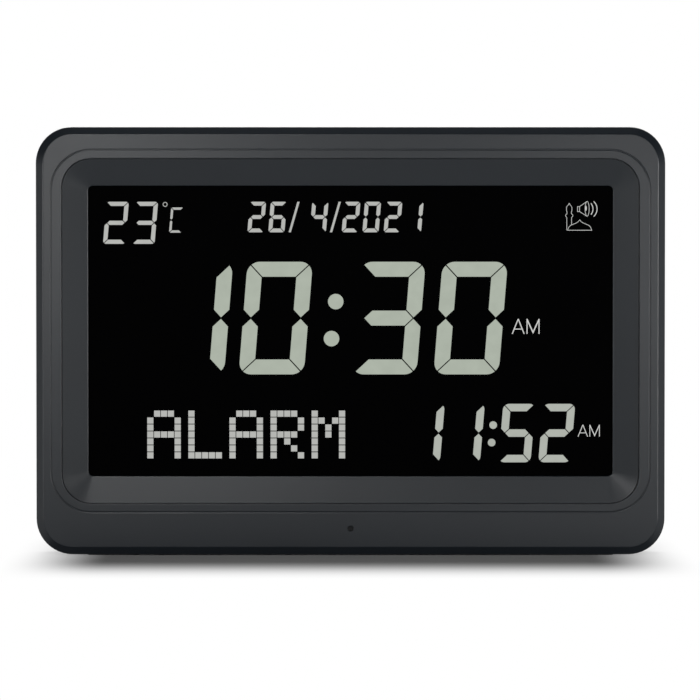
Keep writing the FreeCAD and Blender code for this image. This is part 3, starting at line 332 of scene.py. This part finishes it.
def add_band(mesh, path, width, place, thickness, closed):
    """Flat line of even width along a path, mitred at its corners."""
    count = len(path)
    rows = []
    for index, point in enumerate(path):
        here = Vector(point)
        before = Vector(path[index - 1]) if closed or index > 0 else None
        after = Vector(path[(index + 1) % count]) if closed or index < count - 1 else None
        arriving = (here - before).normalized() if before is not None else (after - here).normalized()
        leaving = (after - here).normalized() if after is not None else arriving
        across = Vector((-arriving.y - leaving.y, arriving.x + leaving.x)).normalized()
        reach = width / 2 / max(MITRE_LIMIT, across.dot(Vector((-arriving.y, arriving.x))))
        left = here + across * reach
        right = here - across * reach
        rows.append([mesh.verts.new(place(left.x, left.y, thickness)),
                     mesh.verts.new(place(right.x, right.y, thickness)),
                     mesh.verts.new(place(right.x, right.y, 0)),
                     mesh.verts.new(place(left.x, left.y, 0))])
    for index in range(count if closed else count - 1):
        here = rows[index]
        following = rows[(index + 1) % count]
        for side in range(4):
            turn = (side + 1) % 4
            mesh.faces.new([here[side], here[turn], following[turn], following[side]])
    if not closed:
        mesh.faces.new(rows[0][::-1])
        mesh.faces.new(rows[-1])


def new_object(name, data):
    """Object in the scene that shows a mesh, lamp or camera."""
    made = bpy.data.objects.new(name, data)
    scene.collection.objects.link(made)
    return made


def mesh_object(name, mesh, material):
    """Object made from a bmesh, which is freed."""
    data = bpy.data.meshes.new(name)
    mesh.to_mesh(data)
    mesh.free()
    data.materials.append(material)
    return new_object(name, data)


def make_piece(name, outlines, bands, place, thickness, body, material):
    """Flat piece that rides on a body; bands are (path, closed, width) lines."""
    mesh = bmesh.new()
    for outline in outlines:
        add_prism(mesh, outline, place, thickness)
    for path, closed, width in bands:
        add_band(mesh, path, width, place, thickness, closed)
    bmesh.ops.recalc_face_normals(mesh, faces=mesh.faces)
    piece = mesh_object(name, mesh, material)
    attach(piece, body)


# ---- Material nodes ----
# Inputs and output of a colour Mix node
MIX_FACTOR = 0
MIX_FIRST = 6
MIX_SECOND = 7
MIX_RESULT = 2
# Nearly all of a noise lies between these two
NOISE_LOW = 0.3
NOISE_HIGH = 0.7


def add_node(tree, kind, values=None, **settings):
    """Node with its settings and the values of its inputs."""
    node = tree.nodes.new(kind)
    for key, value in settings.items():
        setattr(node, key, value)
    for key, value in (values or {}).items():
        node.inputs[key].default_value = value
    return node


def feed(tree, target, source):
    """Links a socket to an input, or sets the input to a value; None leaves it as it is."""
    if isinstance(source, bpy.types.NodeSocket):
        tree.links.new(source, target)
    elif source is not None:
        target.default_value = source


def math_node(tree, operation, first, second=None, clamp=False):
    """Number worked out from one or two others, given as sockets or values."""
    node = add_node(tree, "ShaderNodeMath", operation=operation, use_clamp=clamp)
    feed(tree, node.inputs[0], first)
    feed(tree, node.inputs[1], second)
    return node.outputs[0]


def mix_colours(tree, factor, first, second, blend="MIX"):
    """Colour between two others, given as sockets or values."""
    node = add_node(tree, "ShaderNodeMix", data_type="RGBA", blend_type=blend)
    feed(tree, node.inputs[MIX_FACTOR], factor)
    feed(tree, node.inputs[MIX_FIRST], first)
    feed(tree, node.inputs[MIX_SECOND], second)
    return node.outputs[MIX_RESULT]


def mix_shaders(tree, factor, first, second):
    """Shader between the shaders of two nodes."""
    node = add_node(tree, "ShaderNodeMixShader")
    tree.links.new(factor, node.inputs[0])
    tree.links.new(first.outputs[0], node.inputs[1])
    tree.links.new(second.outputs[0], node.inputs[2])
    return node.outputs[0]


def opaque(colour, factor=1.0):
    """The colour times a factor, with full alpha."""
    return (*[channel * factor for channel in colour], 1)


def empty_tree(owner):
    """Node tree of a material or a world, with no nodes in it."""
    owner.use_nodes = True
    owner.node_tree.nodes.clear()
    return owner.node_tree


def new_material(name):
    """Material of one Principled shader, with its tree and that shader."""
    made = bpy.data.materials.new(name)
    tree = empty_tree(made)
    output = add_node(tree, "ShaderNodeOutputMaterial")
    shader = add_node(tree, "ShaderNodeBsdfPrincipled")
    tree.links.new(shader.outputs["BSDF"], output.inputs["Surface"])
    return made, tree, shader


def coordinates(tree, stretch=(1, 1, 1), turn=(0, 0, 0)):
    """The piece's own coordinates, in metres, so that the pattern moves with it."""
    source = add_node(tree, "ShaderNodeTexCoord")
    mapping = add_node(tree, "ShaderNodeMapping", {"Scale": stretch, "Rotation": turn})
    tree.links.new(source.outputs["Object"], mapping.inputs["Vector"])
    return mapping.outputs["Vector"]


def axes(tree, vector):
    """The three numbers of a place or direction, by the name of their axis."""
    node = add_node(tree, "ShaderNodeSeparateXYZ")
    tree.links.new(vector, node.inputs[0])
    return node.outputs


def noise(tree, size, detail, stretch=(1, 1, 1), roughness=0.5):
    """Noise whose features are about that size, in metres."""
    node = add_node(tree, "ShaderNodeTexNoise",
                    {"Scale": 1 / size, "Detail": detail, "Roughness": roughness})
    tree.links.new(coordinates(tree, stretch), node.inputs["Vector"])
    return node.outputs["Fac"]


def map_range(tree, value, start, end, low, high, kind="LINEAR"):
    """Number that goes from low to high as another goes from start to end."""
    node = add_node(tree, "ShaderNodeMapRange",
                    {"From Min": start, "From Max": end, "To Min": low, "To Max": high},
                    interpolation_type=kind)
    tree.links.new(value, node.inputs["Value"])
    return node.outputs["Result"]


def spread(tree, factor, low, high):
    """Number that follows a noise from low to high."""
    return map_range(tree, factor, NOISE_LOW, NOISE_HIGH, low, high)


def shaded(tree, factor, colour, change):
    """The colour, made that share darker and lighter by a noise."""
    return mix_colours(tree, spread(tree, factor, 0, 1),
                       opaque(colour, 1 - change), opaque(colour, 1 + change))


def set_colour(tree, shader, factor, colour, change):
    """The shader's colour, made that share darker and lighter by a noise."""
    tree.links.new(shaded(tree, factor, colour, change), shader.inputs["Base Color"])


def set_roughness(tree, shader, factor, low, high):
    """The shader's roughness, which follows a noise from low to high."""
    tree.links.new(spread(tree, factor, low, high), shader.inputs["Roughness"])


def set_bump(tree, shader, height, depth, strength, under=None):
    """The shader's relief, on its own normal or on the one under it."""
    node = add_node(tree, "ShaderNodeBump", {"Strength": strength, "Distance": depth})
    tree.links.new(height, node.inputs["Height"])
    feed(tree, node.inputs["Normal"], under)
    tree.links.new(node.outputs["Normal"], shader.inputs["Normal"])


# ---- Materials ----
# How well a rounded normal agrees with the surface's own on a flat, and on a fully rounded edge
FLAT_AGREEMENT = 0.999
SHARP_EDGE_AGREEMENT = 0.9
# An edge's share of the lighter colour, and how many times lighter that colour is: partly rubbed wear,
# partly a painted edge highlight
EDGE_WEAR_AND_HIGHLIGHT_SHARE = 0.25
EDGE_WEAR_AND_HIGHLIGHT_LIGHTNESS = 2.0


def edge_wear_and_highlight(tree, radius):
    """A number that rises on edges from 0 on flats, which lightens them as rubbed wear and painted
    highlight, and the normal of the rounded edges.
    """
    rounded = add_node(tree, "ShaderNodeBevel", {"Radius": radius}, samples=8)
    surface = add_node(tree, "ShaderNodeNewGeometry")
    product = add_node(tree, "ShaderNodeVectorMath", operation="DOT_PRODUCT")
    tree.links.new(rounded.outputs["Normal"], product.inputs[0])
    tree.links.new(surface.outputs["Normal"], product.inputs[1])
    wear_and_highlight = map_range(tree, product.outputs["Value"], FLAT_AGREEMENT, SHARP_EDGE_AGREEMENT, 0.0, 1.0)
    return wear_and_highlight, rounded.outputs["Normal"]


def moulded_plastic(name, colour, roughness, grain, depth, rounding):
    """Moulded plastic with a fine tool texture, faint flow marks, and edges lighter in colour: partly
    rubbed wear, partly a painted edge highlight.
    """
    made, tree, shader = new_material(name)
    wear_and_highlight, rounded = edge_wear_and_highlight(tree, rounding * MM)
    flow = shaded(tree, noise(tree, size=38 * MM, detail=3), colour, change=0.05)
    fleck = shaded(tree, noise(tree, size=0.5 * MM, detail=2), [1, 1, 1], change=0.03)
    mottled = mix_colours(tree, 1.0, flow, fleck, blend="MULTIPLY")
    # Lighter edges: partly rubbed wear, partly a painted highlight along them
    rubbed_and_highlit = mix_colours(tree, math_node(tree, "MULTIPLY", wear_and_highlight, EDGE_WEAR_AND_HIGHLIGHT_SHARE),
                         mottled, opaque(colour, EDGE_WEAR_AND_HIGHLIGHT_LIGHTNESS))
    tree.links.new(rubbed_and_highlit, shader.inputs["Base Color"])
    set_roughness(tree, shader, noise(tree, size=30 * MM, detail=2),
                  low=roughness - 0.006, high=roughness + 0.006)
    texture = noise(tree, grain * MM, detail=3, roughness=0.6)
    set_bump(tree, shader, texture, depth * MM, strength=0.6, under=rounded)
    return made


def soft_plastic(name, colour, roughness, grain, depth, specular):
    """Plain plastic, rubber or foam with an even grain."""
    made, tree, shader = new_material(name)
    set_colour(tree, shader, noise(tree, size=6 * MM, detail=4), colour, change=0.10)
    set_roughness(tree, shader, noise(tree, size=2 * MM, detail=3),
                  low=roughness - 0.06, high=roughness + 0.06)
    shader.inputs["Specular IOR Level"].default_value = specular
    set_bump(tree, shader, noise(tree, grain * MM, detail=3), depth * MM, strength=0.7)
    return made


def plated_metal(name, colour, roughness, stretch):
    """Plated metal with fine drawn marks along one direction."""
    made, tree, shader = new_material(name)
    marks = noise(tree, size=0.4 * MM, detail=4, stretch=stretch)
    set_colour(tree, shader, noise(tree, size=3 * MM, detail=4), colour, change=0.08)
    set_roughness(tree, shader, marks, low=roughness - 0.08, high=roughness + 0.1)
    shader.inputs["Metallic"].default_value = 1.0
    set_bump(tree, shader, marks, depth=0.01 * MM, strength=0.5)
    return made


def clear_sheet(name, colour, roughness):
    """Glass or clear acrylic, faintly uneven."""
    made, tree, shader = new_material(name)
    set_colour(tree, shader, noise(tree, size=20 * MM, detail=2), colour, change=0.02)
    set_roughness(tree, shader, noise(tree, size=5 * MM, detail=3), low=roughness, high=roughness + 0.04)
    shader.inputs["Transmission Weight"].default_value = 1.0
    shader.inputs["IOR"].default_value = 1.5
    return made


def display_film():
    """Black anti-glare film: almost no gloss, with a fine matt sparkle."""
    made, tree, shader = new_material("display_face")
    set_colour(tree, shader, noise(tree, size=30 * MM, detail=2), [0.0003, 0.0003, 0.0004], change=0.15)
    set_roughness(tree, shader, noise(tree, size=0.2 * MM, detail=2), low=0.5, high=0.6)
    shader.inputs["Specular IOR Level"].default_value = 0.01
    set_bump(tree, shader, noise(tree, size=0.12 * MM, detail=2), depth=0.004 * MM, strength=0.4)
    return made


def lit_characters(name, colour):
    """Light that comes through the open segments, slightly uneven across the panel."""
    made, tree, shader = new_material(name)
    glow = shaded(tree, noise(tree, size=7 * MM, detail=2), colour, change=0.035)
    tree.links.new(glow, shader.inputs["Emission Color"])
    shader.inputs["Emission Strength"].default_value = 1.0
    shader.inputs["Base Color"].default_value = (0.01, 0.011, 0.01, 1)
    set_roughness(tree, shader, noise(tree, size=0.2 * MM, detail=2), low=0.5, high=0.6)
    shader.inputs["Specular IOR Level"].default_value = 0.02
    return made


def circuit_board(name, mask_colour):
    """Solder mask over a pattern of copper tracks."""
    made, tree, shader = new_material(name)
    tracks = add_node(tree, "ShaderNodeTexBrick",
                      {"Scale": 1.0, "Mortar Size": 0.4 * MM, "Mortar Smooth": 0.1,
                       "Brick Width": 7.2 * MM, "Row Height": 1.9 * MM, "Color1": opaque(mask_colour),
                       "Color2": opaque(mask_colour, 0.8), "Mortar": opaque(mask_colour, 1.9)})
    tree.links.new(coordinates(tree, turn=(math.radians(90), 0, 0)), tracks.inputs["Vector"])
    tree.links.new(tracks.outputs["Color"], shader.inputs["Base Color"])
    set_roughness(tree, shader, noise(tree, size=1.5 * MM, detail=3), low=0.28, high=0.42)
    set_bump(tree, shader, tracks.outputs["Fac"], depth=0.03 * MM, strength=0.8)
    return made


def ribbon_film(name, colour):
    """Film over evenly spaced conductors, about 2 mm apart."""
    made, tree, shader = new_material(name)
    bars = add_node(tree, "ShaderNodeTexWave", {"Scale": 160.0, "Distortion": 0.0},
                    wave_type="BANDS", bands_direction="X")
    tree.links.new(coordinates(tree), bars.inputs["Vector"])
    set_colour(tree, shader, bars.outputs["Fac"], colour, change=0.4)
    set_roughness(tree, shader, noise(tree, size=2 * MM, detail=2), low=0.25, high=0.4)
    set_bump(tree, shader, bars.outputs["Fac"], depth=0.03 * MM, strength=0.5)
    return made


def paper(name, colour):
    """Pressed paper with short fibres."""
    made, tree, shader = new_material(name)
    set_colour(tree, shader, noise(tree, size=0.5 * MM, detail=5), colour, change=0.35)
    shader.inputs["Roughness"].default_value = 0.9
    shader.inputs["Specular IOR Level"].default_value = 0.15
    set_bump(tree, shader, noise(tree, size=0.4 * MM, detail=5), depth=0.06 * MM, strength=0.9)
    return made


def cell_sleeve(name, sleeve_low, sleeve_high):
    """Blue sleeve between two places along X, bare nickel beyond them."""
    made, tree, shader = new_material(name)
    along = axes(tree, coordinates(tree))["X"]
    covered = math_node(tree, "MULTIPLY", math_node(tree, "GREATER_THAN", along, sleeve_low),
                        math_node(tree, "LESS_THAN", along, sleeve_high))
    blue = shaded(tree, noise(tree, size=12 * MM, detail=2), [0.05, 0.09, 0.2], change=0.08)
    tree.links.new(mix_colours(tree, covered, opaque([0.62, 0.61, 0.58]), blue),
                   shader.inputs["Base Color"])
    tree.links.new(math_node(tree, "SUBTRACT", 1.0, covered), shader.inputs["Metallic"])
    set_roughness(tree, shader, noise(tree, size=1.2 * MM, detail=3), low=0.24, high=0.36)
    return made


# Name, colour, roughness, then the grain's size and depth and the edges' rounding in mm
MOULDED_PLASTICS = [
    ("housing_plastic", [0.0062, 0.0094, 0.0135], 0.28, 0.22, 0.001, 0.5),
    ("bezel_plastic", [0.0060, 0.0092, 0.0131], 0.28, 0.22, 0.001, 0.4),
    ("key_plastic", [0.0060, 0.0085, 0.0105], 0.26, 0.30, 0.002, 0.4),
]
# Name, colour, roughness, the grain's size and depth in mm, specular level
SOFT_PLASTICS = [
    ("film_grey", [0.12, 0.12, 0.13], 0.35, 0.20, 0.005, 0.3),
    ("white_plastic", [0.74, 0.74, 0.72], 0.50, 0.30, 0.020, 0.3),
    ("chip_black", [0.018, 0.018, 0.019], 0.60, 0.15, 0.020, 0.3),
    ("black_plastic", [0.015, 0.015, 0.016], 0.45, 0.25, 0.015, 0.3),
    ("connector_ivory", [0.68, 0.62, 0.49], 0.45, 0.30, 0.015, 0.3),
    ("capacitor_sleeve", [0.02, 0.03, 0.1], 0.30, 0.80, 0.010, 0.5),
    ("ferrite", [0.06, 0.06, 0.065], 0.60, 0.30, 0.050, 0.3),
    ("foam", [0.02, 0.02, 0.02], 0.95, 0.40, 0.100, 0.1),
    ("rubber", [0.02, 0.02, 0.021], 0.75, 0.25, 0.040, 0.3),
    ("lead_sleeve", [0.3, 0.02, 0.02], 0.40, 0.50, 0.020, 0.3),
]
# Name, colour, roughness, stretch of the drawn marks along each axis
PLATED_METALS = [
    ("steel", [0.56, 0.56, 0.57], 0.32, (1, 6, 1)),
    ("nickel", [0.68, 0.66, 0.62], 0.22, (1, 1, 6)),
]
# Name, colour, roughness
CLEAR_SHEETS = [
    ("display_glass", [0.86, 0.9, 0.88], 0.02),
    ("clear_acrylic", [0.95, 0.97, 1.0], 0.05),
]
CHARACTER_COLOURS = {
    "time": [0.401, 0.442, 0.375],
    "alarm": [0.421, 0.444, 0.400],
    "small": [0.457, 0.461, 0.441],
    "thin": [0.61, 0.61, 0.595],
}


def make_materials():
    """The materials of the CAD nodes, by the name of their slot."""
    made = {
        "display_face": display_film(),
        "board_green": circuit_board("board_green", [0.02, 0.13, 0.05]),
        "ribbon_amber": ribbon_film("ribbon_amber", [0.42, 0.19, 0.035]),
        "cone_paper": paper("cone_paper", [0.03, 0.03, 0.03]),
    }
    for make, rows in [(moulded_plastic, MOULDED_PLASTICS), (soft_plastic, SOFT_PLASTICS),
                       (plated_metal, PLATED_METALS), (clear_sheet, CLEAR_SHEETS)]:
        for row in rows:
            made[row[0]] = make(*row)
    return made


MATERIALS = make_materials()
CHARACTERS = {name: lit_characters("display_" + name, colour)
              for name, colour in CHARACTER_COLOURS.items()}


# ---- The CAD nodes ----
CELL_COUNT = 3
CELL_NUB = 1.5 * MM
CELL_BARE_RING = 0.9 * MM


def dress(node, material):
    """Gives a CAD node one material."""
    slots = nodes[node].data.materials
    slots.clear()
    slots.append(material)


def dress_nodes():
    """Gives every CAD node but the cells the material that its slot in the record asks for."""
    for row in frame["record"]["subparts"]:
        if row["material_slot"] != "cell_sleeve":
            dress(row["node"], MATERIALS[row["material_slot"]])


def dress_cells():
    """Sleeves stop short of each cell's two ends; the nub, at alternate ends, stays bare."""
    for index in range(CELL_COUNT):
        number = str(index + 1)
        low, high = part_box("battery_cell_" + number)
        low_nub = CELL_NUB if index % 2 else 0
        high_nub = 0 if index % 2 else CELL_NUB
        dress("battery_cell_" + number,
              cell_sleeve("cell_sleeve_" + number, low.x + low_nub + CELL_BARE_RING,
                          high.x - high_nub - CELL_BARE_RING))


# ---- Display ----
# Line drawing of a tower and a dome beside a loudspeaker: points in mm from its lower left corner
PICTOGRAM_THIN = 0.29
PICTOGRAM_THICK = 0.48
TOWER = [(0.4, 0.2), (0.4, 7.7), (-0.3, 8.5), (-0.3, 9.2), (0.5, 9.9), (0.5, 11.0), (0.2, 11.8),
         (0.2, 13.6), (0.6, 14.4), (1.1, 14.9), (1.8, 16.0), (2.5, 14.9), (3.0, 14.4), (3.4, 13.6),
         (3.4, 11.8), (3.1, 11.0), (3.1, 9.9), (3.9, 9.2), (3.9, 8.5), (3.2, 7.7), (3.2, 3.6)]
DOME_LEFT = [(0.9, 0.2), (1.5, 1.9), (2.6, 3.1), (4.6, 3.9), (6.2, 4.6), (7.3, 5.4), (8.0, 6.4)]
DOME_WIDTH = 16.0
HORN = [(12.0, 17.0), (7.9, 14.1), (6.7, 14.1), (6.7, 11.2), (7.9, 11.2), (12.0, 8.6)]
HORN_BACK = [(7.9, 11.2), (7.9, 14.1)]
HORN_RIM = ellipse(12.35, 12.8, 1.2, 4.35)
VOICE = ellipse(11.7, 13.1, 0.4, 1.5)
SMALL_SOUND = arc(10.7, 12.7, 5.1, 5.1, 40, -40)
LARGE_SOUND = arc(12.25, 12.7, 5.95, 5.95, 48, -48)


def make_characters(name, material, outlines, bands=()):
    """Lit characters on the display's face, in the colour that the material has."""
    make_piece(name, outlines, bands, on_display, CHARACTER_THICKNESS, "housing",
               CHARACTERS[material])


def make_display():
    """Numbers and labels, each thin and raised on the display's face."""
    time_dots = [disc(x, y, TIME_DOT_RADIUS) for x, y in TIME_DOTS]
    alarm_dots = [disc(x, y, ALARM_DOT_RADIUS) for x, y in ALARM_DOTS]
    slashes = [slash(centre, DATE_DIGITS["base"], DATE_STYLE["height"], SLASH_WIDTH, SLASH_SLANT)
               for centre in SLASH_CENTRES]
    degree = (disc(**DEGREE_RING), True, DEGREE_LINE)
    make_characters("time_digits", "time", digits(**TIME_DIGITS) + time_dots)
    make_characters("time_am", "thin", am_label(**TIME_AM))
    make_characters("alarm_digits", "alarm", digits(**ALARM_DIGITS) + alarm_dots)
    make_characters("alarm_am", "thin", am_label(**ALARM_AM))
    make_characters("date_digits", "small", digits(**DATE_DIGITS) + slashes)
    make_characters("temperature_digits", "small", digits(**HEAT_DIGITS) + digits(**HEAT_UNIT), [degree])
    make_characters("alarm_word", "small", dot_word(**ALARM_WORD))


def make_pictogram():
    """The tower, the dome and the loudspeaker, with its voice spot and two sound arcs."""
    dome = DOME_LEFT + mirrored(DOME_LEFT[:-1], width=DOME_WIDTH)
    lines = [
        (TOWER, False, PICTOGRAM_THIN),
        (dome, True, PICTOGRAM_THIN),
        (HORN, False, PICTOGRAM_THIN),
        (HORN_BACK, False, PICTOGRAM_THIN),
        (HORN_RIM, True, PICTOGRAM_THIN),
        (SMALL_SOUND, False, PICTOGRAM_THICK),
        (LARGE_SOUND, False, PICTOGRAM_THICK),
    ]
    placed = [(shifted(path, *PICTOGRAM_PLACE), closed, width) for path, closed, width in lines]
    make_characters("call_pictogram", "thin", [shifted(VOICE, *PICTOGRAM_PLACE)], placed)


# ---- Keys: symbols in mm about each key's middle ----
PRINT_THICKNESS = 0.05 * MM
LINE_WIDTH = 0.45
BAR_REACH = 1.5
BAR_LOWS = (-1.22, -0.22, 0.78)
BARS = [[(-BAR_REACH, y), (BAR_REACH, y), (BAR_REACH, y + LINE_WIDTH), (-BAR_REACH, y + LINE_WIDTH)]
        for y in BAR_LOWS]
RING = disc(0, 0, radius=1.35, steps=32)
UP_TRIANGLE = [(-1.6, -1.15), (1.6, -1.15), (0, 1.55)]
DOWN_TRIANGLE = [(-1.6, 1.15), (0, -1.55), (1.6, 1.15)]
SPEAKER = [(-1.9, -0.6), (-1.1, -0.6), (0, -1.5), (0, 1.5), (-1.1, 0.6), (-1.9, 0.6)]
SPEAKER_ARCS = [arc(0, 0, radius, radius, 48, -48) for radius in (0.95, 1.8)]
# Outlines, and lines as (path, closed, width)
KEY_SYMBOLS = {
    "key_mode": (BARS, []),
    "key_set": ([], [(RING, True, LINE_WIDTH)]),
    "key_up": ([UP_TRIANGLE], []),
    "key_down": ([DOWN_TRIANGLE], []),
    "key_sound": ([SPEAKER], [(path, False, LINE_WIDTH) for path in SPEAKER_ARCS]),
}


def make_key_symbols():
    """Plain symbols printed on the five keys, read from behind."""
    for key, (outlines, bands) in KEY_SYMBOLS.items():
        make_piece(key + "_symbol", outlines, bands, key_face(key), PRINT_THICKNESS, key,
                   MATERIALS["white_plastic"])


# ---- Stage ----
VIEW_WIDTH_AT_FACE = 0.4113
LENS = 200.0
SENSOR = 36.0
CAMERA_ELEVATION = math.radians(1.6)
CAMERA_CLIP_END = 50
AIM = Vector((-0.0003, shell_low.y, 0.1211))

# Softboxes: name, degrees right of the front, degrees up, distance, width, height, brightness
SOFTBOXES = [
    ("front_left_low", -9.5, 5.5, 2.2, 0.30, 0.38, 8.1),
    ("front_left_high", -9, 31, 2.2, 0.35, 0.50, 14.0),
    ("front_right_low", 10.5, 1.6, 2.2, 0.35, 0.30, 5.6),
    ("front_right_high", 14, 20, 2.2, 0.35, 0.40, 2.2),
    ("side_right", 53, 2, 1.8, 1.15, 0.36, 10.5),
    ("side_left", -58, 2, 1.8, 1.00, 0.36, 5.6),
    ("overhead", 180, 62, 1.8, 1.00, 0.80, 9.0),
]

AMBIENT = 0.05
# Floor colour near the object, darker than further out: painted shade that deepens the object's real
# shadow
FLOOR_PAINTED_SHADE = (0.38, 0.38, 0.38, 1)
FLOOR_FAR = (0.80, 0.80, 0.80, 1)
FLOOR_SIZE = 30.0
# How far from the middle the floor keeps its shadow along each axis, and where it is all white
SHADOW_REACH = {"X": (0.140, 0.203), "Y": (0.055, 0.182)}
# How steeply the white that metal and glass show comes in behind the middle
WHITE_RISE = 4.0


def make_camera():
    """Long lens, level with the display's middle and slightly above it."""
    data = bpy.data.cameras.new("camera")
    data.lens = LENS
    data.sensor_width = SENSOR
    data.clip_end = CAMERA_CLIP_END
    camera = new_object("camera", data)
    distance = VIEW_WIDTH_AT_FACE * LENS / SENSOR
    back = Vector((0, -math.cos(CAMERA_ELEVATION), math.sin(CAMERA_ELEVATION)))
    camera.location = AIM + back * distance
    camera.rotation_euler = (-back).to_track_quat("-Z", "Y").to_euler()
    scene.camera = camera


def make_softboxes():
    """Rectangular lamps around the object, each turned to its middle."""
    for name, azimuth, elevation, distance, width, height, brightness in SOFTBOXES:
        turn = math.radians(azimuth)
        rise = math.radians(elevation)
        away = Vector((math.sin(turn) * math.cos(rise), -math.cos(turn) * math.cos(rise), math.sin(rise)))
        data = bpy.data.lights.new(name, "AREA")
        data.shape = "RECTANGLE"
        data.size = width
        data.size_y = height
        data.energy = brightness * math.pi * width * height
        lamp = new_object(name, data)
        lamp.location = SHELL_MIDDLE + away * distance
        lamp.rotation_euler = away.to_track_quat("Z", "Y").to_euler()


def shows_white(tree, backward):
    """1 for the camera's rays, and for those of metal and glass where a place or direction is behind."""
    path = add_node(tree, "ShaderNodeLightPath")
    other = math_node(tree, "MAXIMUM", path.outputs["Is Glossy Ray"], path.outputs["Is Transmission Ray"])
    behind = math_node(tree, "MULTIPLY", backward, WHITE_RISE, clamp=True)
    return math_node(tree, "MAXIMUM", path.outputs["Is Camera Ray"],
                     math_node(tree, "MULTIPLY", other, behind))


def make_world():
    """White background all round, shown by metal and glass too; the studio in front stays dark."""
    scene.world = bpy.data.worlds.new("studio")
    tree = empty_tree(scene.world)
    output = add_node(tree, "ShaderNodeOutputWorld")
    ambient = add_node(tree, "ShaderNodeBackground", {"Color": WHITE, "Strength": AMBIENT})
    white = add_node(tree, "ShaderNodeBackground", {"Color": WHITE, "Strength": 1.0})
    direction = axes(tree, add_node(tree, "ShaderNodeTexCoord").outputs["Generated"])
    shown = shows_white(tree, direction["Y"])
    tree.links.new(mix_shaders(tree, shown, ambient, white), output.inputs["Surface"])


def floor_material():
    """Diffuse where the shadow falls, its colour darkened near the object as painted shade, fading to
    plain white further out.
    """
    made = bpy.data.materials.new("floor")
    tree = empty_tree(made)
    output = add_node(tree, "ShaderNodeOutputMaterial")
    pale = add_node(tree, "ShaderNodeBsdfDiffuse")
    white = add_node(tree, "ShaderNodeEmission", {"Color": WHITE, "Strength": 1.0})
    place = axes(tree, coordinates(tree))
    kept = [map_range(tree, math_node(tree, "ABSOLUTE", place[axis]), near, far, 1.0, 0.0, "SMOOTHSTEP")
            for axis, (near, far) in SHADOW_REACH.items()]
    beyond = math_node(tree, "SUBTRACT", 1.0, math_node(tree, "MULTIPLY", *kept))
    # Darker floor colour near the object: painted shade
    tree.links.new(mix_colours(tree, beyond, FLOOR_PAINTED_SHADE, FLOOR_FAR), pale.inputs["Color"])
    shown = math_node(tree, "MULTIPLY", beyond, shows_white(tree, place["Y"]))
    tree.links.new(mix_shaders(tree, shown, pale, white), output.inputs["Surface"])
    return made


def make_floor():
    """Large square under the object."""
    mesh = bmesh.new()
    half = FLOOR_SIZE / 2
    corners = [(-half, -half), (half, -half), (half, half), (-half, half)]
    mesh.faces.new([mesh.verts.new((x, y, cad_box[0].z)) for x, y in corners])
    mesh_object("floor", mesh, floor_material())


scene.view_settings.view_transform = "Standard"
dress_nodes()
dress_cells()
make_display()
make_pictogram()
make_key_symbols()
make_camera()
make_world()
make_floor()
make_softboxes()
